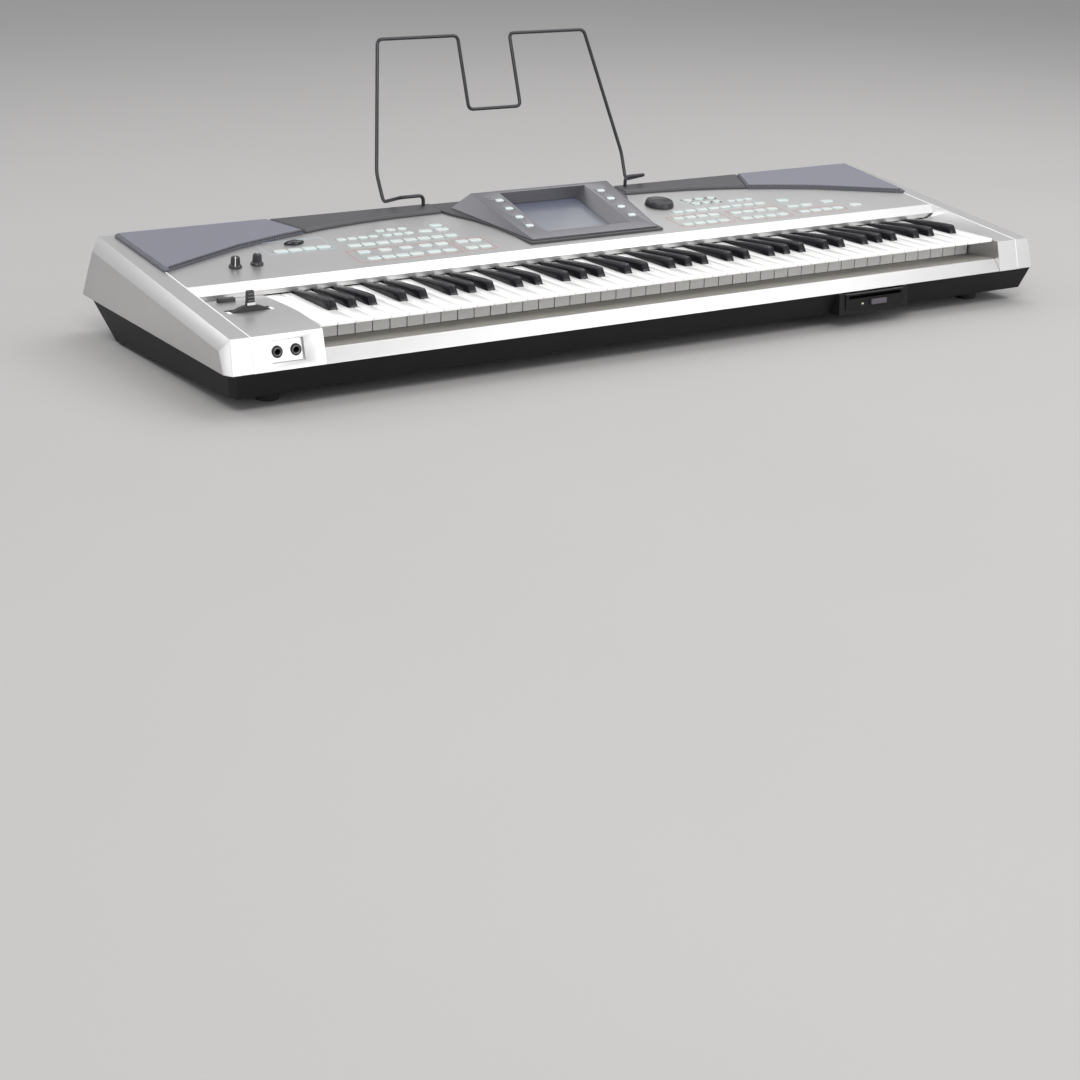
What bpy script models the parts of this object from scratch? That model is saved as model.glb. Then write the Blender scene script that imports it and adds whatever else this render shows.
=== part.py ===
"""Arranger keyboard with 76 keys, built as the pieces that come apart on a bench.

Units are metres, +Z is up, the player sits at -Y. The origin is on the floor below the
middle of the whole object. Depths are measured back from the lips of the white keys and
heights up from their tops, and y_at and z_at turn these into the object's own frame.
"""

import math

import bmesh
import bpy
from mathutils import Matrix, Vector

# Fits
GAP = 0.0003            # between pieces that touch
RUNNING = 0.0004        # round a shaft or a button in its hole
WALL = 0.0025           # moulded covers
CASE_WALL = 0.003       # lower case

# Keys
PITCH = 0.02357         # one octave of seven white keys is 165 mm
WHITE_COUNT = 45
KEY_GAP = 0.0009
KEY_TOP = 0.092         # height of the white key tops over the floor
KEY_DIP = 0.010         # travel of a lip
WHITE_LENGTH = 0.150    # lip to the riser
LIP_THICKNESS = 0.0048
SKIRT_BACK = 0.0478     # the key's body starts this far behind its lip
SKIRT_DEPTH = 0.031
SKIRT_WALL = 0.0015
WHITE_RIB = 0.003
BLACK_FRONT = 0.051
BLACK_BACK = 0.1465
BLACK_WIDTH = 0.0125
BLACK_TOP_WIDTH = 0.0094
BLACK_HEIGHT = 0.011
BLACK_REAR_HEIGHT = 0.0037  # the tops slope down to the riser
BLACK_SLOPE = 0.006     # how far the front face leans back
BLACK_BODY = 0.006
BLACK_BODY_DEPTH = 0.014
BLACK_CLEARANCE = 0.0007
BLACK_OFFSETS = {"C": -0.0023, "D": 0.0023, "F": -0.0031, "G": 0.0, "A": 0.0031}
NOTES = "EFGABCD"       # the lowest key is an E
MIDDLE_C = 19           # first white key of the octave whose keys are single
WHITE_HINGE = 0.218     # hinge line behind the lips
BLACK_HINGE = 0.230
ARM_WIDTH = 0.009
BLACK_ARM_WIDTH = 0.006
ARM_HEIGHT = 0.0065
WHITE_ARM_DROP = 0.0085  # top of a white key's arm below the key top
BLACK_ARM_DROP = 0.0015
RAIL = 0.008            # width of a comb's rail

# Case
CAP_WIDTH = 0.034
BLOCK_WIDTH = 0.092     # left control block
CHEEK_WIDTH = 0.03535   # right end block
SIDE_GAP = 0.0012       # between the keys and the blocks beside them
SPLIT_DEPTH = 0.0435    # joint of silver and black below the key tops
FRONT_TOP = -0.009      # silver front, top and bottom edges
FRONT_TOP_DROP = 0.0033
FRONT_BOTTOM = -0.020
REAR_BOTTOM = 0.410     # foot of the rear wall, between the caps
CAP_REAR_BOTTOM = 0.424
CASE_INSET = 0.0065     # black case inside the silver caps
CASE_TAPER = 0.006      # its sides draw in towards the floor
CASE_CORNER = (0.004, 0.013)  # width and depth cut off its front corners
CASE_FRONT_BOTTOM = -0.008
CASE_REAR_TOP = 0.413
CASE_REAR_BOTTOM = 0.346
REAR_LIP = 0.015        # the rear wall turns in this far at its foot
CASE_FRONT_DEPTH = 0.074  # underside below the key tops, front and rear
CASE_REAR_DEPTH = 0.089
UNDERSIDE_STEP = 0.002
CHAMFER_WIDTH = 0.009
CHAMFER_DROP = 0.018
CHAMFER_SETBACK = 0.012
CHAMFER_FOOT = 0.006    # width of the cut at the foot of the front

# Panel
RISER_FOOT = 0.148
RISER_FOOT_RISE = 0.0076
PANEL_FRONT = 0.1685
PANEL_FRONT_RISE = 0.0158
PANEL_SLOPE = math.radians(6.13)
PANEL_REAR = 0.382
UNDERCUT_RISE = 0.0008

# Control block top, as an arch from its front edge to the riser
BLOCK_CROWN = 0.060
BLOCK_CROWN_RISE = 0.0031
BLOCK_REAR_RISE = 0.0012

# Right cheek, a surface that falls from the cap's edge to a ledge beside the keys
CHEEK_FOOT_RISE = 0.0006
CHEEK_LEDGE = 0.0100    # width of the ledge, narrowing to the front
CHEEK_LEDGE_FRONT = 0.0007
CHEEK_LEDGE_START = 0.030
CHEEK_RIM = 0.0016      # level strip along the seam
CHEEK_REAR = 0.1476

# Bender
BENDER_X = 0.042        # right of the left seam
BENDER_BACK = 0.080
BENDER_RADIUS = 0.0436
BENDER_DEPTH = 0.0366   # axle below the block's crown
BENDER_THICK = 0.007
BENDER_SECTOR = math.radians(47)
PADDLE_WIDTH = 0.0105
PADDLE_RISE = 0.0239
SLOT_HALF = 0.0285
PUSH_ROOM = 0.0085
CARRIAGE_DROP = 0.0115  # push axle below the lever's axle
AXLE_RADIUS = 0.0022
PIN_RADIUS = 0.002

# Buttons and knobs
BUTTON_RISE = 0.0014
KEYPAD_SHEET = 0.001
KNOB_RADIUS = 0.0082
KNOB_HEIGHT = 0.0135
KNOB_SHAFT = 0.003
KNOB_SPACING = 0.030
VOLUME_LEFT = 0.004     # volume knob left of the first key's edge
DIAL_RADIUS = 0.021
DIAL_TOP_RADIUS = 0.018
DIAL_HEIGHT = 0.008
ASSIGN_SIZE = (0.0215, 0.0075)
ASSIGN_RISE = 0.0045

# Display
HOOD_FRONT = 0.190
HOOD_DEPTH = 0.1475     # up its slope
HOOD_FRONT_RISE = 0.0048
HOOD_TILT = math.radians(8.4)
HOOD_FRONT_WIDTH = 0.202
HOOD_REAR_WIDTH = 0.225
HOOD_FOOT_WIDTH = 0.266
HOOD_REAR_LEAN = 0.012
HOOD_X = 0.0095         # centre of the hood to the right of the case's centre
SCREEN_WIDTH = 0.140
SCREEN_FRONT = 0.0186
SCREEN_LENGTH = 0.122
SCREEN_DROP = 0.018
SCREEN_TAPER = 0.011
BASE_HEIGHT = 0.003
WINDOW_MARGIN = 0.008   # opening under the display inside the hood's outline
WINDOW_LENGTH = 0.1328

# Rear band
BAND_REAR = 0.3745
TRIM_HEIGHT = 0.005
GRILLE_HEIGHT = 0.006
GRILLE_WALL = 0.0018
TRIM_INNER = 0.152      # half widths from the case's centre
TRIM_OUTER = 0.3645
GRILLE_SLANT = 0.014
GRILLE_OUTER = 0.6005
SPEAKER_X = 0.542
SPEAKER_BACK = 0.316
SPEAKER_RADIUS = 0.050
DRIVER_DEPTH = 0.038

# Music rest
WIRE_RADIUS = 0.0025
REST_X = 0.0095
REST_SOCKET = 0.168     # half spacings from the rest's centre
REST_FOOT = 0.203
REST_TOP = 0.171
REST_NOTCH = 0.043
REST_SOCKET_BACK = 0.365
REST_FOOT_BACK = 0.414
REST_FOOT_RISE = 0.041
REST_HEEL_RISE = 0.056
REST_KNEE_BACK = 0.430
REST_KNEE_RISE = 0.078
REST_TOP_BACK = 0.490
REST_TOP_RISE = 0.2505
REST_NOTCH_RISE = 0.152
REST_SEAT = 0.012       # length of wire in its socket

# Front
SLIP_TOP_BACK = -0.006
SLIP_DEPTH = 0.0276
TRAY_DEPTH = 0.0313
DRIVE_X = 0.321         # centre of the disk drive right of the case's centre
DRIVE_WIDTH = 0.1016
DRIVE_HEIGHT = 0.0215
DRIVE_LENGTH = 0.130
DRIVE_PROUD = 0.0275    # bezel in front of the lips
DISK_SLOT = (0.092, 0.0046)
EJECT_SIZE = (0.0262, 0.0070)
EJECT_PROUD = 0.003
JACK_SPACING = 0.0235
JACK_FROM_SEAM = 0.032
JACK_DEPTH = 0.0235
JACK_RADIUS = 0.0066
JACK_BORE = 0.0034
RECESS = (0.0415, 0.027, 0.0035)

# Feet and insides
FOOT_RADIUS = 0.015
FOOT_X = 0.553
FOOT_FRONT = 0.036
FOOT_REAR = 0.325
BOARD_SIZE = (0.600, 0.120, 0.0016)
CHIP_SIZE = (0.028, 0.028, 0.004)
SUPPLY_SIZE = (0.090, 0.050, 0.026)
SUPPLY_INSET = 0.008
PLATE_X = 0.250
PLATE_SIZE = (0.300, 0.036, 0.002)
SOCKET_PITCH = 0.033
INLET_X = -0.450

BUTTON_ROWS = {  # node: (case x of the first centre, depth, count, pitch, width, length)
    "beam_buttons": [(-0.426, 0.257, 4, 0.020, 0.0184, 0.0110)],
    "style_buttons": [
        (-0.264, 0.295, 3, 0.0165, 0.0130, 0.0085),
        (-0.180, 0.294, 1, 0, 0.0175, 0.0100),
        (-0.330, 0.277, 4, 0.0155, 0.0134, 0.0085),
        (-0.263, 0.276, 3, 0.016, 0.0134, 0.0085),
        (-0.2055, 0.277, 2, 0.0255, 0.0190, 0.0105),
        (-0.325, 0.250, 8, 0.02045, 0.0180, 0.0105),
    ],
    "rhythm_buttons": [
        (-0.326, 0.223, 3, 0.0305, 0.0175, 0.0105),
        (-0.236, 0.223, 2, 0.024, 0.0175, 0.0105),
        (-0.325, 0.1965, 4, 0.0205, 0.0184, 0.0105),
        (-0.238, 0.1965, 2, 0.023, 0.0190, 0.0105),
        (-0.181, 0.223, 2, 0.020, 0.0176, 0.0105),
        (-0.181, 0.1965, 2, 0.020, 0.0176, 0.0105),
    ],
    "mode_buttons": [
        (0.2355, 0.291, 3, 0.0210, 0.0165, 0.0110),
        (0.2385, 0.274, 3, 0.0185, 0.0150, 0.0095),
        (0.299, 0.270, 3, 0.0155, 0.0134, 0.0080),
        (0.188, 0.2475, 8, 0.02086, 0.0180, 0.0080),
    ],
    "tone_buttons": [
        (0.170, 0.222, 4, 0.0205, 0.0176, 0.0100),
        (0.167, 0.195, 4, 0.0205, 0.0176, 0.0100),
        (0.270, 0.220, 4, 0.0215, 0.0180, 0.0100),
        (0.269, 0.1935, 4, 0.0215, 0.0180, 0.0100),
        (0.374, 0.221, 2, 0.025, 0.0200, 0.0090),
        (0.442, 0.226, 1, 0, 0.0200, 0.0105),
        (0.375, 0.195, 4, 0.0207, 0.0180, 0.0100),
        (0.475, 0.200, 1, 0, 0.0200, 0.0100),
        (0.378, 0.250, 1, 0, 0.0190, 0.0105),
    ],
}
DISPLAY_BUTTONS = (0.0835, (0.038, 0.065, 0.092, 0.118), 0.012, 0.0075)

# Values worked out from the sizes above
KEYS_WIDTH = WHITE_COUNT * PITCH
WIDTH = 2 * CAP_WIDTH + BLOCK_WIDTH + KEYS_WIDTH + CHEEK_WIDTH
LEFT_SEAM = -WIDTH / 2 + CAP_WIDTH
RIGHT_SEAM = WIDTH / 2 - CAP_WIDTH
KEYS_LEFT = LEFT_SEAM + BLOCK_WIDTH
KEYS_RIGHT = KEYS_LEFT + KEYS_WIDTH
FRONT_REACH = DRIVE_PROUD + EJECT_PROUD
REAR_REACH = REST_TOP_BACK + WIRE_RADIUS
LIP_Y = (FRONT_REACH - REAR_REACH) / 2


def y_at(depth):
    """Depth behind the key lips, in the object's frame."""
    return LIP_Y + depth


def z_at(rise):
    """Height over the white key tops, in the object's frame."""
    return KEY_TOP + rise


def panel_rise(depth):
    """Height of the panel's surface over the key tops."""
    return PANEL_FRONT_RISE + (depth - PANEL_FRONT) * math.tan(PANEL_SLOPE)


def along_panel(depth):
    """Distance up the panel's slope from its front edge."""
    return (depth - PANEL_FRONT) / math.cos(PANEL_SLOPE)


def underside(depth):
    """Height of the lower case's underside over the key tops."""
    run = CASE_REAR_BOTTOM - CASE_FRONT_BOTTOM
    share = (depth - CASE_FRONT_BOTTOM) / run
    return -CASE_FRONT_DEPTH - share * (CASE_REAR_DEPTH - CASE_FRONT_DEPTH)


# Scene and helpers


def clear_scene():
    for item in list(bpy.data.objects):
        bpy.data.objects.remove(item, do_unlink=True)


clear_scene()
parts = bpy.data.collections.new("arranger_keyboard")
cutters = bpy.data.collections.new("cutters")
for group in (parts, cutters):
    bpy.context.scene.collection.children.link(group)
cutters.hide_render = True


def frame_empty(name, place, turn, parent=None):
    empty = bpy.data.objects.new(name, None)
    empty.empty_display_size = 0.02
    empty.location = place
    empty.rotation_euler = (turn, 0, 0)
    empty.parent = parent
    parts.objects.link(empty)
    return empty


panel_frame = frame_empty(
    "panel_frame", (0, y_at(PANEL_FRONT), z_at(PANEL_FRONT_RISE)), PANEL_SLOPE
)
hood_frame = frame_empty(
    "hood_frame", (HOOD_X, along_panel(HOOD_FRONT), HOOD_FRONT_RISE), HOOD_TILT, panel_frame
)


def paint(name, colour, roughness, metallic=0.0, alpha=1.0):
    material = bpy.data.materials.new(name)
    material.use_nodes = True
    shader = material.node_tree.nodes["Principled BSDF"]
    shader.inputs["Base Color"].default_value = (*colour, 1)
    shader.inputs["Roughness"].default_value = roughness
    shader.inputs["Metallic"].default_value = metallic
    shader.inputs["Alpha"].default_value = alpha
    return material


MATERIALS = {
    "silver": paint("silver", (0.42, 0.41, 0.40), 0.38, 0.3),
    "black_case": paint("black_case", (0.02, 0.02, 0.022), 0.55),
    "dark_trim": paint("dark_trim", (0.11, 0.11, 0.115), 0.5),
    "grille": paint("grille", (0.27, 0.27, 0.31), 0.5),
    "white_key": paint("white_key", (0.86, 0.86, 0.84), 0.25),
    "black_key": paint("black_key", (0.01, 0.01, 0.012), 0.2),
    "tray": paint("tray", (0.30, 0.29, 0.26), 0.6),
    "button": paint("button", (0.66, 0.72, 0.70), 0.4),
    "black_plastic": paint("black_plastic", (0.015, 0.015, 0.018), 0.4),
    "screen": paint("screen", (0.22, 0.23, 0.27), 0.1),
    "wire": paint("wire", (0.05, 0.05, 0.055), 0.25, 0.6),
    "rubber": paint("rubber", (0.02, 0.02, 0.02), 0.8),
    "circuit": paint("circuit", (0.03, 0.16, 0.07), 0.5),
    "steel": paint("steel", (0.5, 0.5, 0.5), 0.35, 1.0),
}


def finish(item, material, collection=parts):
    for holder in item.users_collection:
        holder.objects.unlink(item)
    collection.objects.link(item)
    item.data.materials.clear()
    if material:
        item.data.materials.append(MATERIALS[material])
    if collection is cutters:
        item.hide_render = True
        item.display_type = "WIRE"
    return item


def from_bmesh(name, shape):
    mesh = bpy.data.meshes.new(name)
    shape.to_mesh(mesh)
    shape.free()
    item = bpy.data.objects.new(name, mesh)
    bpy.context.scene.collection.objects.link(item)
    return item


def corner_box(name, low, high):
    """A cube primitive stretched between two corners."""
    shape = bmesh.new()
    bmesh.ops.create_cube(shape, size=1.0)
    size = [b - a for a, b in zip(low, high)]
    middle = [(a + b) / 2 for a, b in zip(low, high)]
    bmesh.ops.scale(shape, vec=size, verts=shape.verts)
    bmesh.ops.translate(shape, vec=middle, verts=shape.verts)
    return from_bmesh(name, shape)


def tapered_box(name, bottom, top):
    """A cube whose bottom and top are unlike rectangles: (x0, x1, y0, y1, z at y0, z at y1)."""
    shape = bmesh.new()
    bmesh.ops.create_cube(shape, size=1.0)
    for vert in shape.verts:
        x0, x1, y0, y1, z0, z1 = top if vert.co.z > 0 else bottom
        back = vert.co.y > 0
        vert.co = (x1 if vert.co.x > 0 else x0, y1 if back else y0, z1 if back else z0)
    return from_bmesh(name, shape)


def mesh_of(curve_item):
    """The curve's evaluated mesh as an object of the same name, with its caps welded."""
    bpy.context.scene.collection.objects.link(curve_item)
    graph = bpy.context.evaluated_depsgraph_get()
    mesh = bpy.data.meshes.new_from_object(curve_item.evaluated_get(graph))
    shape = bmesh.new()
    shape.from_mesh(mesh)
    bmesh.ops.remove_doubles(shape, verts=shape.verts, dist=1e-6)
    shape.to_mesh(mesh)
    shape.free()
    name = curve_item.name
    place = curve_item.matrix_world.copy()
    bpy.data.objects.remove(curve_item)
    item = bpy.data.objects.new(name, mesh)
    item.matrix_world = place
    bpy.context.scene.collection.objects.link(item)
    return item


def prism(name, outline, low, high, across="XY"):
    """A flat outline made a slab: (x, y) outlines rise along Z, (y, z) outlines run along X."""
    curve = bpy.data.curves.new(name, "CURVE")
    curve.dimensions = "2D"
    curve.fill_mode = "BOTH"
    curve.extrude = (high - low) / 2
    spline = curve.splines.new("POLY")
    spline.points.add(len(outline) - 1)
    for point, (a, b) in zip(spline.points, outline):
        point.co = (a, b, 0, 1)
    spline.use_cyclic_u = True
    item = mesh_of(bpy.data.objects.new(name, curve))
    middle = (low + high) / 2
    if across == "YZ":
        item.data.transform(Matrix(((0, 0, 1, middle), (1, 0, 0, 0), (0, 1, 0, 0), (0, 0, 0, 1))))
    elif across == "XZ":
        item.data.transform(Matrix(((1, 0, 0, 0), (0, 0, -1, middle), (0, 1, 0, 0), (0, 0, 0, 1))))
    else:
        item.data.transform(Matrix.Translation((0, 0, middle)))
    return item


def band(points, thickness):
    """A path in a plane with its parallel at one side, as one closed outline."""
    inner = []
    for index, (a, b) in enumerate(points):
        before = Vector(points[index]) - Vector(points[index - 1]) if index else None
        after = Vector(points[index + 1]) - Vector((a, b)) if index + 1 < len(points) else None
        sides = [Vector((-leg.y, leg.x)).normalized() for leg in (before, after) if leg]
        mitre = sum(sides, Vector((0, 0))).normalized()
        reach = thickness / mitre.dot(sides[0])
        inner.append((a + mitre.x * reach, b + mitre.y * reach))
    return list(points) + inner[::-1]


def turned(name, profile, steps=20):
    """A profile of (radius, height) turned round Z, given from its top down its outside."""
    shape = bmesh.new()
    verts = [shape.verts.new((radius, 0, height)) for radius, height in profile]
    for first, second in zip(verts, verts[1:]):
        shape.edges.new((first, second))
    item = from_bmesh(name, shape)
    screw = item.modifiers.new("turn", "SCREW")
    screw.steps = screw.render_steps = steps
    screw.use_merge_vertices = True
    screw.merge_threshold = 1e-5
    return item


def cylinder(name, radius, start, end, sides=16):
    """A cylinder primitive between two points."""
    start, end = Vector(start), Vector(end)
    shape = bmesh.new()
    bmesh.ops.create_cone(
        shape, cap_ends=True, segments=sides, radius1=radius, radius2=radius,
        depth=(end - start).length,
    )
    turn = Vector((0, 0, 1)).rotation_difference(end - start).to_matrix().to_4x4()
    shape.transform(Matrix.Translation((start + end) / 2) @ turn)
    return from_bmesh(name, shape)


def merged(name, shapes):
    """Shapes that don't touch, as one mesh, for cutting many holes at once."""
    whole = bmesh.new()
    for item in shapes:
        whole.from_mesh(item.data)
        bpy.data.objects.remove(item)
    return from_bmesh(name, whole)


def cut(item, tool, parent=None):
    tool.parent = parent
    finish(tool, None, cutters)
    step = item.modifiers.new("cut", "BOOLEAN")
    step.operation = "DIFFERENCE"
    step.object = tool


def join(item, *shapes):
    """Joins shapes that overlap the item into its one body."""
    group = bpy.data.collections.new(item.name + "_pieces")
    cutters.children.link(group)
    for shape in shapes:
        finish(shape, None, group)
        shape.hide_render = True
        shape.display_type = "WIRE"
    step = item.modifiers.new("join", "BOOLEAN")
    step.operation = "UNION"
    step.operand_type = "COLLECTION"
    step.collection = group


def move_origin(item, place):
    """Puts the object's origin on a point of its own frame, such as its joint's axis."""
    item.data.transform(Matrix.Translation(-Vector(place)))
    item.location = place


def level(item, height, above=False):
    """Brings vertices past a rim's height back to it: those below, or those above."""
    for vert in item.data.vertices:
        limit = height(vert.co.y) if callable(height) else height
        vert.co.z = min(vert.co.z, limit) if above else max(vert.co.z, limit)
    return item


def flatten(item):
    """Applies the object's modifiers to its mesh."""
    bpy.context.view_layer.update()
    graph = bpy.context.evaluated_depsgraph_get()
    mesh = bpy.data.meshes.new_from_object(item.evaluated_get(graph))
    item.modifiers.clear()
    item.data = mesh
    return item


# Keys


def note(index):
    return NOTES[index % len(NOTES)]


def black_after(index):
    """Whether a black key stands between this white key and the next."""
    return 0 <= index < WHITE_COUNT - 1 and note(index) in BLACK_OFFSETS


def black_centre(index):
    return KEYS_LEFT + (index + 1) * PITCH + BLACK_OFFSETS[note(index)]


def tail_edges(index):
    """The sides of a white key between the black ones."""
    room = BLACK_WIDTH / 2 + BLACK_CLEARANCE
    left = KEYS_LEFT + index * PITCH + KEY_GAP / 2
    right = KEYS_LEFT + (index + 1) * PITCH - KEY_GAP / 2
    if black_after(index - 1):
        left = black_centre(index - 1) + room
    if black_after(index):
        right = black_centre(index) - room
    return left, right


def white_key_shapes(index):
    """The plate, skirt, rib and arm of one white key."""
    left = KEYS_LEFT + index * PITCH + KEY_GAP / 2
    right = left + PITCH - KEY_GAP
    tail_left, tail_right = tail_edges(index)
    notch = y_at(BLACK_FRONT - BLACK_CLEARANCE)
    back = y_at(WHITE_LENGTH)
    outline = [(left, y_at(0)), (right, y_at(0))]
    if tail_right < right:
        outline += [(right, notch), (tail_right, notch)]
    outline += [(tail_right, back), (tail_left, back)]
    if tail_left > left:
        outline += [(tail_left, notch), (left, notch)]
    inset = KEY_GAP / 4
    middle = (tail_left + tail_right) / 2
    under = z_at(-LIP_THICKNESS / 2)
    skirt_low = z_at(-SKIRT_DEPTH)
    arm_top = z_at(-WHITE_ARM_DROP)
    return [
        prism("plate", outline, z_at(-LIP_THICKNESS), z_at(0)),
        corner_box(
            "skirt",
            (left + inset, y_at(SKIRT_BACK), skirt_low),
            (right - inset, y_at(SKIRT_BACK + SKIRT_WALL), under),
        ),
        corner_box(
            "rib",
            (middle - WHITE_RIB / 2, y_at(SKIRT_BACK + SKIRT_WALL / 2), skirt_low + inset),
            (middle + WHITE_RIB / 2, y_at(WHITE_LENGTH - WALL), under),
        ),
        corner_box(
            "arm",
            (middle - ARM_WIDTH / 2, y_at(WHITE_LENGTH - 4 * WALL), arm_top - ARM_HEIGHT),
            (middle + ARM_WIDTH / 2, y_at(WHITE_HINGE + RAIL / 2), arm_top),
        ),
    ]


def black_key_shapes(index):
    """The cap, body and arm of one black key."""
    middle = black_centre(index)
    half, top_half = BLACK_WIDTH / 2, BLACK_TOP_WIDTH / 2
    foot = z_at(-LIP_THICKNESS / 2)
    front, back = y_at(BLACK_FRONT), y_at(BLACK_BACK)
    arm_top = z_at(-BLACK_ARM_DROP)
    return [
        tapered_box(
            "cap",
            (middle - half, middle + half, front, back, foot, foot),
            (
                middle - top_half, middle + top_half, front + BLACK_SLOPE, back,
                z_at(BLACK_HEIGHT), z_at(BLACK_REAR_HEIGHT),
            ),
        ),
        corner_box(
            "body",
            (middle - BLACK_BODY / 2, front + WALL, z_at(-BLACK_BODY_DEPTH)),
            (middle + BLACK_BODY / 2, back - WALL, foot + BLACK_CLEARANCE),
        ),
        corner_box(
            "arm",
            (middle - BLACK_ARM_WIDTH / 2 + GAP, back - 4 * WALL, arm_top - ARM_HEIGHT),
            (middle + BLACK_ARM_WIDTH / 2 - GAP, y_at(BLACK_HINGE + RAIL / 2), arm_top),
        ),
    ]


def key_set(name, indices, shapes_of, hinge, drop, material):
    """One key, or a comb of keys joined at a rail on their hinge line."""
    shapes = [shape for index in indices for shape in shapes_of(index)]
    first, *rest = shapes
    first.name = name
    if len(indices) > 1:
        sides = [tail_edges(i) if shapes_of is white_key_shapes else (black_centre(i),) * 2
                 for i in (indices[0], indices[-1])]
        left, right = sum(sides[0]) / 2, sum(sides[1]) / 2
        top = z_at(-drop)
        rest.append(corner_box(
            "rail",
            (left - GAP, y_at(hinge - RAIL / 2), top - ARM_HEIGHT + GAP),
            (right + GAP, y_at(hinge + RAIL / 2) - GAP, top - GAP),
        ))
    join(first, *rest)
    flatten(first)
    move_origin(first, (first.data.vertices[0].co.x, y_at(hinge), z_at(-drop - ARM_HEIGHT / 2)))
    return finish(first, material)


def build_keys():
    whites = list(range(WHITE_COUNT))
    single = whites[MIDDLE_C:MIDDLE_C + 7]
    low, high = whites[:MIDDLE_C], whites[MIDDLE_C + 7:]
    white = (white_key_shapes, WHITE_HINGE, WHITE_ARM_DROP, "white_key")
    black = (black_key_shapes, BLACK_HINGE, BLACK_ARM_DROP, "black_key")
    key_set("low_white_keys", low, *white)
    key_set("high_white_keys", high, *white)
    key_set("low_black_keys", [i for i in low if black_after(i)], *black)
    key_set("high_black_keys", [i for i in high if black_after(i)], *black)
    for index in single:
        letter = note(index).lower()
        key_set(f"key_{letter}", [index], *white)
        if black_after(index):
            key_set(f"key_{letter}_sharp", [index], *black)


# Case


def case_ring(side, front, rear, rise_at):
    """The lower case seen from above at one height, with its front corners cut off."""
    across, back = CASE_CORNER
    half = [(side - across, front), (side, front + back), (side, rear)]
    ring = half + [(-x, depth) for x, depth in half[::-1]]
    return [(x, y_at(depth), z_at(rise_at(depth))) for x, depth in ring]


def build_bottom_case():
    side = WIDTH / 2 - CASE_INSET
    top = z_at(-SPLIT_DEPTH - GAP)
    floor = case_ring(side - CASE_TAPER, CASE_FRONT_BOTTOM, CASE_REAR_BOTTOM, underside)
    rim = case_ring(side, FRONT_BOTTOM, CASE_REAR_TOP, lambda depth: -SPLIT_DEPTH - GAP)
    shape = bmesh.new()
    low, high = ([shape.verts.new(place) for place in ring] for ring in (floor, rim))
    shape.faces.new(low[::-1])
    for i in range(len(low)):
        after = (i + 1) % len(low)
        shape.faces.new((low[i], low[after], high[after], high[i]))
    case = from_bmesh("bottom_case", shape)
    shell = case.modifiers.new("shell", "SOLIDIFY")
    shell.thickness = CASE_WALL
    shell.offset = -1
    shell.use_even_offset = True
    level(flatten(case), top, above=True)

    posts = []

    def post(x, depth, rise, size=(0.010, 0.010)):
        floor = z_at(underside(depth)) + CASE_WALL / 2
        posts.append(corner_box(
            "post",
            (x - size[0] / 2, y_at(depth) - size[1] / 2, floor),
            (x + size[0] / 2, y_at(depth) + size[1] / 2, z_at(rise)),
        ))

    tray_low = -SPLIT_DEPTH + GAP
    drive_left, drive_right = DRIVE_X - DRIVE_WIDTH / 2, DRIVE_X + DRIVE_WIDTH / 2
    for x in (KEYS_LEFT + 0.08, 0.0, KEYS_RIGHT - 0.10):
        for depth in (0.030, 0.150):
            post(x, depth, tray_low)
    for x in (board_x(-1), 0.0 + HOOD_X, board_x(1)):
        for depth in (BOARD_DEPTH - 0.045, BOARD_DEPTH + 0.045):
            post(x, depth, BOARD_RISE - GAP, (0.008, 0.008))
    for x in (drive_left + 0.008, drive_right - 0.008):
        post(x, 0.045, drive_low() - GAP, (0.006, 0.080))
    pivot = bender_push_axle()
    reach = carriage_half() + 0.006
    for sign in (-1, 1):
        post(pivot.x + sign * reach, BENDER_BACK, pivot.z - KEY_TOP + 0.005, (0.005, 0.014))
    bulge = prism(
        "bulge",
        [
            (y_at(-DRIVE_PROUD + 0.0005), z_at(drive_low() - 0.006)),
            (y_at(0.040), z_at(drive_low() - 0.0085)),
            (y_at(0.125), z_at(underside(0.125) + CASE_WALL / 2)),
            (y_at(-0.010), z_at(drive_low() - 0.0035)),
            (y_at(-0.0175), z_at(-SPLIT_DEPTH - 0.0008)),
            (y_at(-DRIVE_PROUD + 0.0025), z_at(-SPLIT_DEPTH - 0.0008)),
        ],
        drive_left - 0.010, drive_right + 0.010, "YZ",
    )
    join(case, bulge, *posts)
    cut(case, corner_box(
        "drive_mouth",
        (drive_left - GAP, y_at(-DRIVE_PROUD - 0.01), z_at(drive_low() - GAP)),
        (drive_right + GAP, y_at(0.010), z_at(drive_low() + DRIVE_HEIGHT + 0.003)),
    ))
    cut(case, cylinder(
        "pivot_bore", PIN_RADIUS + RUNNING,
        (pivot.x - reach - 0.01, pivot.y, pivot.z), (pivot.x + reach + 0.01, pivot.y, pivot.z), 12,
    ))
    cut(case, prism(
        "underside_step",
        [
            (y_at(CASE_FRONT_BOTTOM - 0.01), z_at(underside(CASE_FRONT_BOTTOM - 0.01) - 0.02)),
            (y_at(0.075), z_at(underside(0.075) - 0.02)),
            (y_at(0.055), z_at(underside(0.055) + UNDERSIDE_STEP / 2)),
            (y_at(CASE_FRONT_BOTTOM - 0.01), z_at(underside(CASE_FRONT_BOTTOM - 0.01) + UNDERSIDE_STEP)),
        ],
        KEYS_LEFT - 0.005, drive_left - 0.020, "YZ",
    ))
    finish(flatten(case), "black_case")


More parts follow.
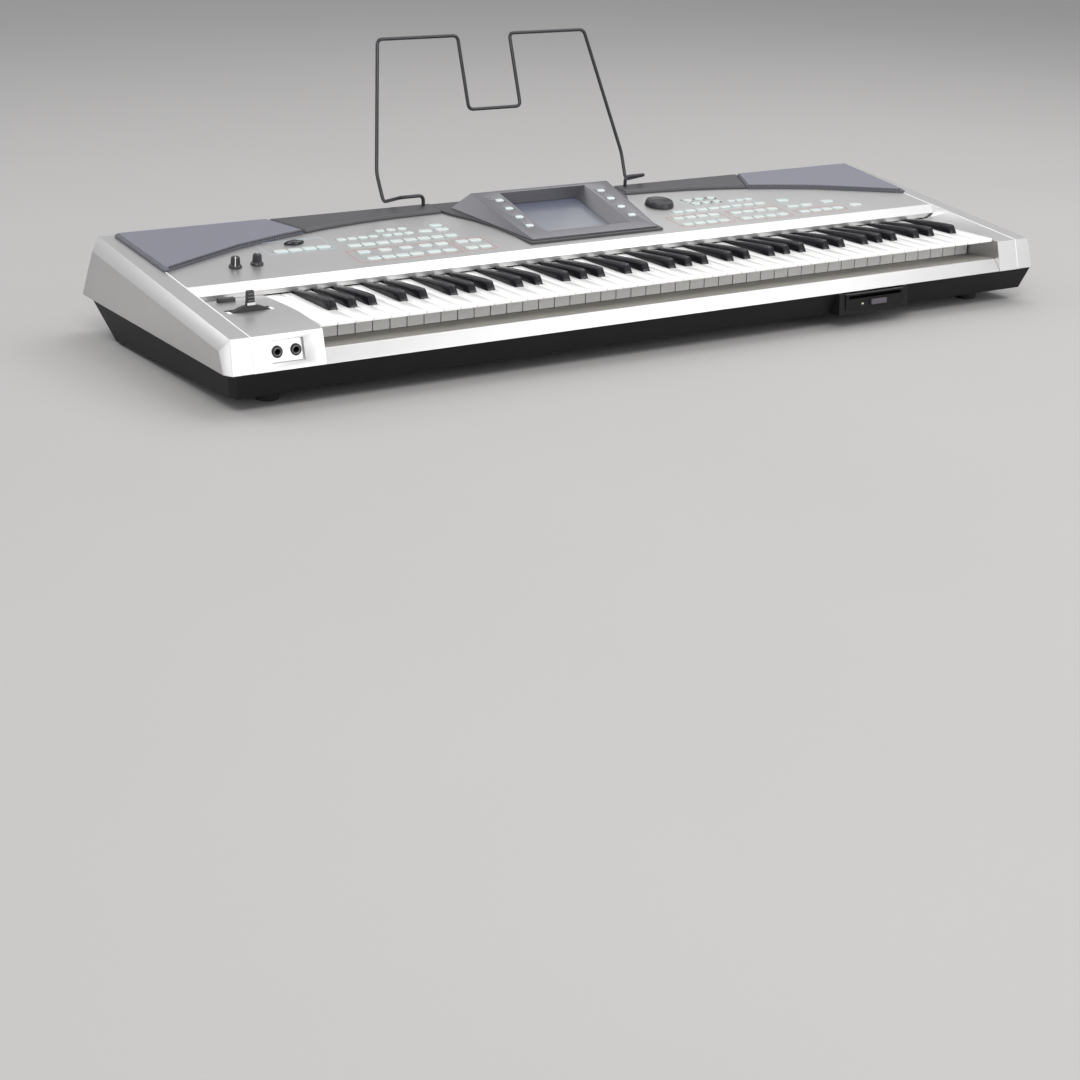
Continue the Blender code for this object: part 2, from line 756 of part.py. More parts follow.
def build_end_cap(name, sign):
    """A side shell, open towards the keys and below, with its outer edges cut off."""
    outer, seam = sign * WIDTH / 2, sign * (WIDTH / 2 - CAP_WIDTH + GAP / 2)
    ridges = [outer - sign * width for width in (CHAMFER_FOOT, *[CHAMFER_WIDTH] * 3)]
    full = [
        (FRONT_BOTTOM, -SPLIT_DEPTH), (FRONT_TOP, -FRONT_TOP_DROP),
        (PANEL_REAR, panel_rise(PANEL_REAR)), (CAP_REAR_BOTTOM, -SPLIT_DEPTH),
    ]
    small = [
        (FRONT_BOTTOM + CHAMFER_SETBACK, -SPLIT_DEPTH),
        (FRONT_TOP + CHAMFER_SETBACK, -FRONT_TOP_DROP - CHAMFER_DROP + CHAMFER_SETBACK / 4),
        (PANEL_REAR, panel_rise(PANEL_REAR) - CHAMFER_DROP), (CAP_REAR_BOTTOM, -SPLIT_DEPTH),
    ]
    shape = bmesh.new()
    rings = [
        [shape.verts.new((x, y_at(depth), z_at(rise))) for x, (depth, rise) in zip(xs, path)]
        for xs, path in (([seam] * 4, full), (ridges, full), ([outer] * 4, small))
    ]
    for first, second in zip(rings, rings[1:]):
        for i in range(len(full) - 1):
            shape.faces.new((first[i], first[i + 1], second[i + 1], second[i]))
    side = shape.faces.new(rings[-1])
    bmesh.ops.recalc_face_normals(shape, faces=shape.faces)
    shape.normal_update()
    if side.normal.x * sign < 0:
        bmesh.ops.reverse_faces(shape, faces=shape.faces)
    cap = from_bmesh(name, shape)
    shell = cap.modifiers.new("shell", "SOLIDIFY")
    shell.thickness = WALL
    shell.offset = -1
    shell.use_even_offset = True
    finish(level(flatten(cap), z_at(-SPLIT_DEPTH)), "silver")


def block_top(depth):
    """Height of the control block's arched top over the key tops."""
    front = -FRONT_TOP_DROP
    if depth < BLOCK_CROWN:
        share = (BLOCK_CROWN - depth) / (BLOCK_CROWN - FRONT_TOP)
        return BLOCK_CROWN_RISE - (BLOCK_CROWN_RISE - front) * share ** 1.6
    share = (depth - BLOCK_CROWN) / (WHITE_LENGTH - BLOCK_CROWN)
    return BLOCK_CROWN_RISE - (BLOCK_CROWN_RISE - BLOCK_REAR_RISE) * share ** 2


def block_shell(name, lines, rear):
    """An end block: front face, top and the wall beside the keys.

    Each line runs from front to rear as (x at a depth, rise at a depth), the last beside the keys.
    """
    depths = [FRONT_TOP + (rear - FRONT_TOP) * i / 8 for i in range(9)]
    shape = bmesh.new()
    rings = []
    for x_of, rise_of in lines:
        foot = shape.verts.new((x_of(FRONT_TOP), y_at(FRONT_BOTTOM), z_at(-SPLIT_DEPTH)))
        rings.append([foot] + [
            shape.verts.new((x_of(depth), y_at(depth), z_at(rise_of(depth)))) for depth in depths
        ])
    inner_x = lines[-1][0](rear)
    heel = shape.verts.new((inner_x, y_at(rear), z_at(-SPLIT_DEPTH)))
    for first, second in zip(rings, rings[1:]):
        for i in range(len(first) - 1):
            shape.faces.new((first[i], first[i + 1], second[i + 1], second[i]))
    wall = shape.faces.new([*rings[-1], heel])
    bmesh.ops.recalc_face_normals(shape, faces=shape.faces)
    shape.normal_update()
    if wall.normal.x * (inner_x - lines[0][0](rear)) < 0:
        bmesh.ops.reverse_faces(shape, faces=shape.faces)
    block = from_bmesh(name, shape)
    shell = block.modifiers.new("shell", "SOLIDIFY")
    shell.thickness = WALL
    shell.offset = -1
    shell.use_even_offset = True
    return level(flatten(block), z_at(-SPLIT_DEPTH))


def front_lean(depth_below):
    """How far the silver front has come forward at this depth below the key tops."""
    share = (depth_below - FRONT_TOP_DROP) / (SPLIT_DEPTH - FRONT_TOP_DROP)
    return FRONT_TOP + (FRONT_BOTTOM - FRONT_TOP) * share


def jack_x(number):
    return LEFT_SEAM + JACK_FROM_SEAM + number * JACK_SPACING


def bender_axle():
    crown = BLOCK_CROWN_RISE - BENDER_DEPTH
    return Vector((LEFT_SEAM + BENDER_X, y_at(BENDER_BACK), z_at(crown)))


def bender_push_axle():
    return bender_axle() - Vector((0, 0, CARRIAGE_DROP))


def carriage_half():
    """Half the length of the carriage along X, without its pins."""
    return 0.012


def build_control_block():
    sides = (LEFT_SEAM + GAP / 2, KEYS_LEFT - SIDE_GAP)
    block = block_shell(
        "control_block", [(lambda depth, x=x: x, block_top) for x in sides], WHITE_LENGTH,
    )
    width, height, depth = RECESS
    middle = (jack_x(0) + jack_x(1)) / 2
    top, low = -JACK_DEPTH + height / 2, -JACK_DEPTH - height / 2 + 0.002
    face_top, face_low = front_lean(-top), front_lean(-low)
    pad = prism(
        "pad",
        [
            (y_at(face_low) + WALL / 2, z_at(low - 0.003)),
            (y_at(face_low) + WALL / 2 + depth + 0.003, z_at(low - 0.003)),
            (y_at(face_top) + WALL / 2 + depth + 0.003, z_at(top + 0.003)),
            (y_at(face_top) + WALL / 2, z_at(top + 0.003)),
        ],
        middle - width / 2 - 0.003, middle + width / 2 + 0.003, "YZ",
    )
    join(block, pad)
    cut(block, prism(
        "recess",
        [
            (y_at(face_low) - 0.005, z_at(low)), (y_at(face_low) + depth, z_at(low)),
            (y_at(face_top) + depth, z_at(top)), (y_at(face_top) - 0.005, z_at(top)),
        ],
        middle - width / 2, middle + width / 2, "YZ",
    ))
    for number in range(2):
        cut(block, cylinder(
            "jack_hole", JACK_RADIUS + RUNNING,
            (jack_x(number), y_at(-0.03), z_at(-JACK_DEPTH)),
            (jack_x(number), y_at(0.01), z_at(-JACK_DEPTH)), 20,
        ))
    axle = bender_axle()
    half = BENDER_THICK / 2 + 0.0008
    cut(block, corner_box(
        "bender_slot",
        (axle.x - SLOT_HALF, axle.y - half, z_at(-0.006)),
        (axle.x + SLOT_HALF, axle.y + half + PUSH_ROOM, z_at(0.02)),
    ))
    x, depth_back = assign_place()
    width, length = ASSIGN_SIZE
    cut(block, corner_box(
        "assign_window",
        (x - width / 2 - RUNNING, y_at(depth_back) - length / 2 - RUNNING, z_at(-0.006)),
        (x + width / 2 + RUNNING, y_at(depth_back) + length / 2 + RUNNING, z_at(0.02)),
    ))
    finish(flatten(block), "silver")


def cap_line(depth):
    """Height of the end caps' top edge over the key tops."""
    share = (depth - FRONT_TOP) / (PANEL_REAR - FRONT_TOP)
    return -FRONT_TOP_DROP + (panel_rise(PANEL_REAR) + FRONT_TOP_DROP) * share


def build_right_cheek():
    inner = KEYS_RIGHT + SIDE_GAP

    def ledge_x(depth):
        share = min(1, (depth - FRONT_TOP) / (CHEEK_LEDGE_START - FRONT_TOP))
        return inner + CHEEK_LEDGE_FRONT + (CHEEK_LEDGE - CHEEK_LEDGE_FRONT) * share

    def ledge_rise(depth):
        return min(CHEEK_FOOT_RISE, cap_line(depth))

    finish(block_shell("right_cheek", [
        (lambda depth: RIGHT_SEAM - GAP / 2, cap_line),
        (lambda depth: RIGHT_SEAM - CHEEK_RIM, cap_line),
        (ledge_x, ledge_rise),
        (lambda depth: inner, ledge_rise),
    ], CHEEK_REAR), "silver")


def assign_place():
    return LEFT_SEAM + BENDER_X - 0.005, 0.1365


def build_assign_button():
    x, depth = assign_place()
    width, length = ASSIGN_SIZE
    top = z_at(block_top(depth) + ASSIGN_RISE)
    under = z_at(block_top(depth + length)) - WALL - 3 * GAP
    button = corner_box(
        "assign_button",
        (x - width / 2, y_at(depth) - length / 2, under - 0.001),
        (x + width / 2, y_at(depth) + length / 2, top),
    )
    join(button, corner_box(
        "flange",
        (x - width / 2 - 0.002, y_at(depth) - length / 2 - 0.002, under - 0.002),
        (x + width / 2 + 0.002, y_at(depth) + length / 2 + 0.002, under),
    ))
    flatten(button)
    move_origin(button, (x, y_at(depth), under))
    finish(button, "black_plastic")


def build_bender():
    """The lever swings on the carriage's axle, and the carriage tips back on two pins."""
    axle = bender_axle()
    steps = 12
    arc = [
        (
            axle.x + BENDER_RADIUS * math.sin(BENDER_SECTOR * (2 * i / steps - 1)),
            axle.z + BENDER_RADIUS * math.cos(BENDER_SECTOR * (2 * i / steps - 1)),
        )
        for i in range(steps + 1)
    ]
    hub = 0.006
    outline = [(axle.x - hub, axle.z - hub), *arc, (axle.x + hub, axle.z - hub)]
    half = BENDER_THICK / 2
    lever = prism("bender_lever", outline[::-1], axle.y - half, axle.y + half, "XZ")
    crown = axle.z + BENDER_RADIUS
    top = z_at(BLOCK_CROWN_RISE + PADDLE_RISE)
    wide, slim = PADDLE_WIDTH / 2, PADDLE_WIDTH / 2 - 0.001
    join(lever, tapered_box(
        "paddle",
        (axle.x - wide, axle.x + wide, axle.y - half + GAP, axle.y + half - GAP, crown - 0.004, crown - 0.004),
        (axle.x - slim, axle.x + slim, axle.y - half + 0.001, axle.y + half - 0.001, top, top),
    ))
    cut(lever, cylinder(
        "axle_hole", AXLE_RADIUS + GAP,
        (axle.x, axle.y - half - 0.01, axle.z), (axle.x, axle.y + half + 0.01, axle.z), 12,
    ))
    flatten(lever)
    move_origin(lever, axle)
    finish(lever, "black_plastic")

    push = bender_push_axle()
    inner = half + 0.0012
    outer = inner + 0.003
    length = carriage_half()
    carriage = corner_box(
        "bender_carriage",
        (push.x - length, push.y - outer, push.z - 0.003),
        (push.x + length, push.y + outer, push.z + 0.003),
    )
    cheeks = [
        corner_box(
            "cheek",
            (axle.x - 0.005, axle.y + min(sign * inner, sign * outer), push.z),
            (axle.x + 0.005, axle.y + max(sign * inner, sign * outer), axle.z + 0.005),
        )
        for sign in (-1, 1)
    ]
    pin = cylinder(
        "axle", AXLE_RADIUS, (axle.x, axle.y - outer + 0.001, axle.z),
        (axle.x, axle.y + outer - 0.001, axle.z), 12,
    )
    reach = length + 0.010
    trunnions = cylinder(
        "trunnions", PIN_RADIUS, (push.x - reach, push.y, push.z), (push.x + reach, push.y, push.z), 12,
    )
    join(carriage, *cheeks, pin, trunnions)
    flatten(carriage)
    move_origin(carriage, push)
    finish(carriage, "black_plastic")


def build_jacks():
    """Two headphone sockets on one bracket behind the recess."""
    front = y_at(front_lean(JACK_DEPTH) + RECESS[2] - 0.0012)
    back = y_at(0.012)
    z = z_at(-JACK_DEPTH)
    bracket = corner_box(
        "headphone_jacks",
        (jack_x(0) - 0.010, back - 0.003, z - 0.008), (jack_x(1) + 0.010, back, z + 0.008),
    )
    join(bracket, *[
        cylinder("barrel", JACK_RADIUS, (jack_x(n), front, z), (jack_x(n), back - 0.001, z), 20)
        for n in range(2)
    ])
    for number in range(2):
        cut(bracket, cylinder(
            "bore", JACK_BORE, (jack_x(number), front - 0.01, z), (jack_x(number), back - 0.001, z), 12,
        ))
    finish(flatten(bracket), "black_plastic")


def build_slip():
    slip = prism(
        "key_slip",
        band([
            (y_at(FRONT_BOTTOM), z_at(-SPLIT_DEPTH)),
            (y_at(SLIP_TOP_BACK), z_at(-SLIP_DEPTH)),
            (y_at(SLIP_TOP_BACK + 0.004), z_at(-SLIP_DEPTH)),
        ][::-1], WALL),
        KEYS_LEFT - SIDE_GAP + GAP, KEYS_RIGHT + SIDE_GAP - GAP, "YZ",
    )
    finish(level(slip, z_at(-SPLIT_DEPTH)), "silver")


def build_key_frame():
    """The tray that carries the keys, with the ledge in front and the hinge rail behind."""
    floor_top = -SPLIT_DEPTH + 0.003
    thick = 0.0022
    ledge = SLIP_TOP_BACK + 0.004 + GAP
    step = SKIRT_BACK - 0.0008
    hinge_top = -WHITE_ARM_DROP - ARM_HEIGHT - GAP
    outline = [
        (ledge, -SLIP_DEPTH), (step, -TRAY_DEPTH), (step, floor_top),
        (WHITE_HINGE - 0.008, floor_top), (WHITE_HINGE - 0.005, hinge_top),
        (WHITE_HINGE + 0.005, hinge_top), (BLACK_HINGE - 0.003, hinge_top),
        (BLACK_HINGE - 0.003, -BLACK_ARM_DROP - ARM_HEIGHT - GAP),
        (BLACK_HINGE + 0.003, -BLACK_ARM_DROP - ARM_HEIGHT - GAP),
        (BLACK_HINGE + 0.005, floor_top - thick),
        (step - thick, floor_top - thick), (step - thick, -TRAY_DEPTH - thick),
        (ledge, -SLIP_DEPTH - thick),
    ]
    frame = prism(
        "key_frame", [(y_at(d), z_at(r)) for d, r in outline],
        KEYS_LEFT - SIDE_GAP + GAP, KEYS_RIGHT + SIDE_GAP - GAP, "YZ",
    )
    finish(frame, "tray")


# Panel and what sits on it


def row_centres(row):
    x, depth, count, pitch, width, length = row
    return [(x + i * pitch, depth, width, length) for i in range(count)]


def button_boxes(rows, low, high, margin=0.0):
    """One box for each button, in the panel's own frame."""
    return [
        corner_box(
            "button",
            (x - w / 2 - margin, along_panel(depth) - l / 2 - margin, low),
            (x + w / 2 + margin, along_panel(depth) + l / 2 + margin, high),
        )
        for row in rows
        for x, depth, w, l in row_centres(row)
    ]


KEYPAD_TOP = -WALL - GAP
DIAL_PLACE = (0.181, 0.284)
KNOB_PLACES = {
    "volume_knob": (KEYS_LEFT - VOLUME_LEFT, 0.220),
    "balance_knob": (KEYS_LEFT - VOLUME_LEFT + KNOB_SPACING, 0.2215),
}
LENS_PLACE = (-0.396, 0.281)
LENS_SIZE = (0.027, 0.0125, 0.0045)


def build_top_panel():
    path = [
        (RISER_FOOT + 0.0025, UNDERCUT_RISE), (RISER_FOOT + 0.0025, RISER_FOOT_RISE - 0.0005),
        (RISER_FOOT, RISER_FOOT_RISE), (PANEL_FRONT, PANEL_FRONT_RISE),
        (PANEL_REAR, panel_rise(PANEL_REAR)),
    ]
    outline = band([(y_at(d), z_at(r)) for d, r in path][::-1], WALL)
    panel = prism("top_panel", outline, LEFT_SEAM + GAP, RIGHT_SEAM - GAP, "YZ")
    windows = [box for rows in BUTTON_ROWS.values()
               for box in button_boxes(rows, -2 * WALL, WALL, RUNNING)]
    cut(panel, merged("button_windows", windows), panel_frame)
    holes = [
        cylinder("speaker_hole", SPEAKER_RADIUS - 0.004,
                 (sign * SPEAKER_X, along_panel(SPEAKER_BACK), -2 * WALL),
                 (sign * SPEAKER_X, along_panel(SPEAKER_BACK), WALL), 24)
        for sign in (-1, 1)
    ]
    for x, depth in [*KNOB_PLACES.values(), DIAL_PLACE]:
        holes.append(cylinder(
            "shaft_hole", KNOB_SHAFT + RUNNING,
            (x, along_panel(depth), -2 * WALL), (x, along_panel(depth), WALL), 12,
        ))
    holes.append(screen_window(2 * WALL))
    cut(panel, merged("holes", holes), panel_frame)
    finish(flatten(panel), "silver")


def screen_window(reach):
    """The opening under the display, through the panel and through the display's base."""
    half = HOOD_FRONT_WIDTH / 2 - WINDOW_MARGIN
    return corner_box(
        "screen_window",
        (HOOD_X - half, along_panel(HOOD_FRONT + WINDOW_MARGIN), -reach),
        (HOOD_X + half, along_panel(HOOD_FRONT + WINDOW_MARGIN) + WINDOW_LENGTH, reach),
    )


def build_rear_wall():
    """The sloping back, which starts under the panel's rear edge and turns in at its foot."""
    top, foot = Vector((PANEL_REAR, panel_rise(PANEL_REAR))), Vector((REAR_BOTTOM, GAP - SPLIT_DEPTH))
    start = top + (foot - top).normalized() * (WALL + GAP) * 1.1
    path = [tuple(start), tuple(foot), (REAR_BOTTOM - REAR_LIP, GAP - SPLIT_DEPTH)]
    outline = band([(y_at(d), z_at(r)) for d, r in path][::-1], WALL)
    wall = prism("rear_wall", outline, LEFT_SEAM + GAP, RIGHT_SEAM - GAP, "YZ")
    rear = [
        corner_box("plate_window", (-PLATE_SIZE[0] / 2, -PLATE_SIZE[1] / 2, -0.01),
                   (PLATE_SIZE[0] / 2, PLATE_SIZE[1] / 2, 0.01)),
        corner_box("inlet_window", (INLET_X - PLATE_X - 0.0142, -0.0117, -0.01),
                   (INLET_X - PLATE_X + 0.0142, 0.0117, 0.01)),
        corner_box("switch_window", (INLET_X - PLATE_X + 0.0310, -0.0110, -0.01),
                   (INLET_X - PLATE_X + 0.0470, 0.0110, 0.01)),
    ]
    cut(wall, merged("rear_windows", rear), rear_frame)
    finish(flatten(wall), "silver")


def rear_middle():
    """The middle of the rear wall, between its top and bottom edges."""
    top, low = panel_rise(PANEL_REAR), -SPLIT_DEPTH
    return (PANEL_REAR + REAR_BOTTOM) / 2, (top + low) / 2


def make_rear_frame():
    """An empty on the rear wall: its X runs along the wall, Y down it, Z out of the back."""
    depth, rise = rear_middle()
    lean = math.atan2(REAR_BOTTOM - PANEL_REAR, panel_rise(PANEL_REAR) + SPLIT_DEPTH)
    return frame_empty("rear_frame", (PLATE_X, y_at(depth), z_at(rise)), lean - math.pi / 2)


rear_frame = make_rear_frame()


def keypad(name, rows, sheet_outline):
    """A moulded sheet under the panel whose buttons stand up through it."""
    low = KEYPAD_TOP - KEYPAD_SHEET
    outline = [(x, along_panel(depth)) for x, depth in sheet_outline]
    pad = prism(name, outline, low, KEYPAD_TOP)
    join(pad, *button_boxes(rows, low + KEYPAD_SHEET / 3, BUTTON_RISE))
    flatten(pad)
    middle = sum(x for x, _ in outline) / len(outline), sum(v for _, v in outline) / len(outline)
    move_origin(pad, (*middle, 0))
    pad.parent = panel_frame
    finish(pad, "button")


def build_keypads():
    margin = 0.003
    for name, rows in BUTTON_ROWS.items():
        spots = [spot for row in rows for spot in row_centres(row)]
        left = min(x - w / 2 for x, _, w, _ in spots) - margin
        right = max(x + w / 2 for x, _, w, _ in spots) + margin
        front = min(d - l / 2 for _, d, _, l in spots) - margin
        back = max(d + l / 2 for _, d, _, l in spots) + margin
        outline = [(left, front), (right, front), (right, back), (left, back)]
        if name == "mode_buttons":
            step_x, step_d = rows[0][0] - rows[0][4] / 2 - margin, rows[3][1] + rows[3][5]
            outline[3:] = [(step_x, back), (step_x, step_d), (left, step_d)]
        if name == "tone_buttons":
            lone_x, lone_w = rows[-1][0], rows[-1][4] / 2 + margin
            shoulder = rows[0][1] + rows[0][5]
            outline[1:] = [
                (right, front), (right, shoulder), (lone_x + lone_w, shoulder),
                (lone_x + lone_w, back), (lone_x - lone_w, back), (lone_x - lone_w, shoulder),
                (left, shoulder),
            ]
        keypad(name, rows, outline)


def build_knobs():
    for name, (x, depth) in KNOB_PLACES.items():
        radius = KNOB_RADIUS
        knob = turned(name, [
            (0, KNOB_HEIGHT), (radius * 0.60, KNOB_HEIGHT), (radius * 0.70, KNOB_HEIGHT - 0.001),
            (radius * 0.76, 0.0035), (radius, 0.0012), (radius, GAP), (KNOB_SHAFT, GAP),
            (KNOB_SHAFT, -0.008), (0, -0.008),
        ])
        knob.location = (x, along_panel(depth), 0)
        knob.parent = panel_frame
        finish(knob, "black_plastic")
    x, depth = DIAL_PLACE
    dial = turned("data_dial", [
        (0, DIAL_HEIGHT - 0.0022), (DIAL_TOP_RADIUS * 0.6, DIAL_HEIGHT - 0.0017),
        (DIAL_TOP_RADIUS * 0.93, DIAL_HEIGHT), (DIAL_TOP_RADIUS, DIAL_HEIGHT - 0.0006),
        (DIAL_RADIUS, 0.001), (DIAL_RADIUS, GAP), (KNOB_SHAFT, GAP), (KNOB_SHAFT, -0.008),
        (0, -0.008),
    ], 28)
    dial.location = (x, along_panel(depth), 0)
    dial.parent = panel_frame
    finish(dial, "black_plastic")


def build_lens():
    """The hand sensor's almond-shaped window."""
    x, depth = LENS_PLACE
    length, width, rise = LENS_SIZE
    steps = 6
    side = [(length * (i / steps - 0.5), width / 2 * math.sin(math.pi * i / steps) ** 0.7)
            for i in range(steps + 1)]
    outline = side[::-1] + [(a, -b) for a, b in side[1:-1]]
    lens = prism("beam_lens", [(a, b) for a, b in outline][::-1], GAP, rise)
    lens.location = (x, along_panel(depth), 0)
    lens.parent = panel_frame
    finish(lens, "black_plastic")


BAND_FRONT = [  # (half width from the centre, depth) of the raised rear band's front edge
    (TRIM_INNER, 0.341), (0.221, 0.338), (0.272, 0.333), (0.324, 0.3285),
    (TRIM_OUTER - GRILLE_SLANT, 0.3255), (0.405, 0.313), (0.470, 0.289), (0.540, 0.2595),
    (0.593, 0.238),
]


def build_rear_band():
    inner = [point for point in BAND_FRONT if point[0] <= TRIM_OUTER - GRILLE_SLANT]
    outer = [point for point in BAND_FRONT if point[0] >= TRIM_OUTER - GRILLE_SLANT]
    seam = 0.0008
    for side, sign in (("left", -1), ("right", 1)):
        path = [(HOOD_X + sign * TRIM_INNER + sign * seam / 2, BAND_REAR),
                (HOOD_X + sign * TRIM_INNER + sign * seam / 2, inner[0][1])]
        path += [(sign * a, d) for a, d in inner[1:]]
        path += [(sign * (TRIM_OUTER + 0.010), BAND_REAR)]
        trim = prism(f"rear_trim_{side}", [(x, along_panel(d)) for x, d in path], GAP, TRIM_HEIGHT)
        trim.parent = panel_frame
        socket = HOOD_X + sign * REST_SOCKET
        socket_y, socket_z = y_at(REST_SOCKET_BACK), z_at(panel_rise(REST_SOCKET_BACK))
        cut(trim, cylinder(
            "rest_socket", WIRE_RADIUS + 2 * RUNNING,
            (socket, socket_y, socket_z - 0.01), (socket, socket_y, socket_z + 0.02), 12,
        ))
        finish(trim, "dark_trim")

        path = [(sign * (TRIM_OUTER + 0.010 + seam), BAND_REAR),
                (sign * (TRIM_OUTER - GRILLE_SLANT + seam), outer[0][1])]
        path += [(sign * a, d) for a, d in outer[1:]]
        path += [(sign * GRILLE_OUTER, BAND_REAR)]
        outline = [(x, along_panel(d)) for x, d in path]
        grille = prism(f"speaker_grille_{side}", outline, GAP, GRILLE_HEIGHT)
        centre = [sum(p[i] for p in outline) / len(outline) for i in (0, 1)]
        shrink = [(centre[0] + (x - centre[0]) * 0.955, centre[1] + (v - centre[1]) * 0.91)
                  for x, v in outline]
        cut(grille, prism("grille_hollow", shrink, -0.005, GRILLE_HEIGHT - GRILLE_WALL), panel_frame)
        grille.parent = panel_frame
        finish(flatten(grille), "grille")


def build_speakers():
    radius = SPEAKER_RADIUS
    top = -WALL - GAP
    for side, sign in (("left", -1), ("right", 1)):
        driver = turned(f"speaker_driver_{side}", [
            (0, top - DRIVER_DEPTH * 0.27), (radius * 0.28, top - DRIVER_DEPTH * 0.32),
            (radius * 0.84, top - 0.001), (radius * 0.90, top), (radius, top),
            (radius, top - 0.003), (radius * 0.86, top - 0.004),
            (radius * 0.62, top - DRIVER_DEPTH * 0.63), (radius * 0.56, top - DRIVER_DEPTH * 0.68),
            (radius * 0.56, top - DRIVER_DEPTH), (0, top - DRIVER_DEPTH),
        ])
        driver.location = (sign * SPEAKER_X, along_panel(SPEAKER_BACK), 0)
        driver.parent = panel_frame
        finish(driver, "black_plastic")


def build_display():
    half_rear = TRIM_INNER - 0.0004
    side = [(half_rear, BAND_REAR), (half_rear, 0.343), (0.1445, 0.325), (0.129, 0.297),
            (0.115, 0.260), (0.109, 0.221), (0.107, 0.184)]
    outline = [(HOOD_X + a, along_panel(d)) for a, d in side]
    outline += [(HOOD_X - a, along_panel(d)) for a, d in side[::-1]]
    base = prism("display_base", outline, GAP, BASE_HEIGHT)
    base.parent = panel_frame
    cut(base, screen_window(2 * BASE_HEIGHT), panel_frame)
    finish(flatten(base), "dark_trim")

    foot = BASE_HEIGHT + GAP - HOOD_FRONT_RISE
    slope = math.tan(HOOD_TILT)
    front_foot = foot * math.cos(HOOD_TILT)
    back = HOOD_DEPTH + HOOD_REAR_LEAN
    rear_foot = front_foot - back * slope
    hood = tapered_box(
        "display_hood",
        (-HOOD_FRONT_WIDTH / 2, HOOD_FRONT_WIDTH / 2, 0, back, front_foot, rear_foot),
        (-HOOD_FRONT_WIDTH / 2, HOOD_FRONT_WIDTH / 2, 0, HOOD_DEPTH, 0, 0),
    )
    for vert in hood.data.vertices:
        if vert.co.y > HOOD_DEPTH / 2:
            wide = HOOD_REAR_WIDTH if vert.co.z > -1e-6 else HOOD_FOOT_WIDTH
            vert.co.x = math.copysign(wide / 2, vert.co.x)
    shape = bmesh.new()
    shape.from_mesh(hood.data)
    shape.normal_update()
    floor = [face for face in shape.faces if face.normal.z < -0.9]
    bmesh.ops.delete(shape, geom=floor, context="FACES")
    shape.to_mesh(hood.data)
    shape.free()
    shell = hood.modifiers.new("shell", "SOLIDIFY")
    shell.thickness = WALL
    shell.offset = -1
    shell.use_even_offset = True
    hood.parent = hood_frame
    level(flatten(hood), lambda y: front_foot - y * slope)

    half = SCREEN_WIDTH / 2
    front, rear = SCREEN_FRONT, SCREEN_FRONT + SCREEN_LENGTH
    deep = half - SCREEN_TAPER

    def screen_well(name, grow, low, high):
        over = SCREEN_TAPER * (high / SCREEN_DROP)
        under = SCREEN_TAPER * ((-low - SCREEN_DROP) / SCREEN_DROP)
        return tapered_box(
            name,
            (-deep + under - grow, deep - under + grow, front + SCREEN_TAPER + under - grow,
             rear - 0.001 + grow, low, low),
            (-half - over - grow, half + over + grow, front - over - grow, rear + grow, high, high),
        )

    well = screen_well("well", 0.0018, -SCREEN_DROP, -0.0005)
    well.parent = hood_frame
    join(hood, well)
    cut(hood, screen_well("screen_cut", 0.0, -SCREEN_DROP - 0.002, 0.002), hood_frame)
    centre, places, width, length = DISPLAY_BUTTONS
    windows = [
        corner_box("window", (sign * centre - width / 2 - RUNNING, w - length / 2 - RUNNING, -2 * WALL),
                   (sign * centre + width / 2 + RUNNING, w + length / 2 + RUNNING, WALL))
        for sign in (-1, 1) for w in places
    ]
    cut(hood, merged("display_windows", windows), hood_frame)
    finish(flatten(hood), "dark_trim")

    glass = corner_box(
        "display_glass",
        (-deep - 0.001, front + SCREEN_TAPER - 0.001, -SCREEN_DROP - GAP - 0.003),
        (deep + 0.001, rear, -SCREEN_DROP - GAP),
    )
    glass.parent = hood_frame
    finish(glass, "screen")

    for side_name, sign in (("left", -1), ("right", 1)):
        low = -WALL - 2 * GAP - KEYPAD_SHEET
        pad = corner_box(
            f"display_buttons_{side_name}",
            (sign * centre - 0.008, places[0] - 0.007, low),
            (sign * centre + 0.008, places[-1] + 0.007, -WALL - 2 * GAP),
        )
        join(pad, *[
            corner_box("button", (sign * centre - width / 2, w - length / 2, low + KEYPAD_SHEET / 3),
                       (sign * centre + width / 2, w + length / 2, BUTTON_RISE))
            for w in places
        ])
        flatten(pad)
        move_origin(pad, (sign * centre, (places[0] + places[-1]) / 2, 0))
        pad.parent = hood_frame
        finish(pad, "button")


# Front, rear and insides


def drive_low():
    """Underside of the disk drive over the key tops."""
    return -SPLIT_DEPTH - 0.0015 - DRIVE_HEIGHT


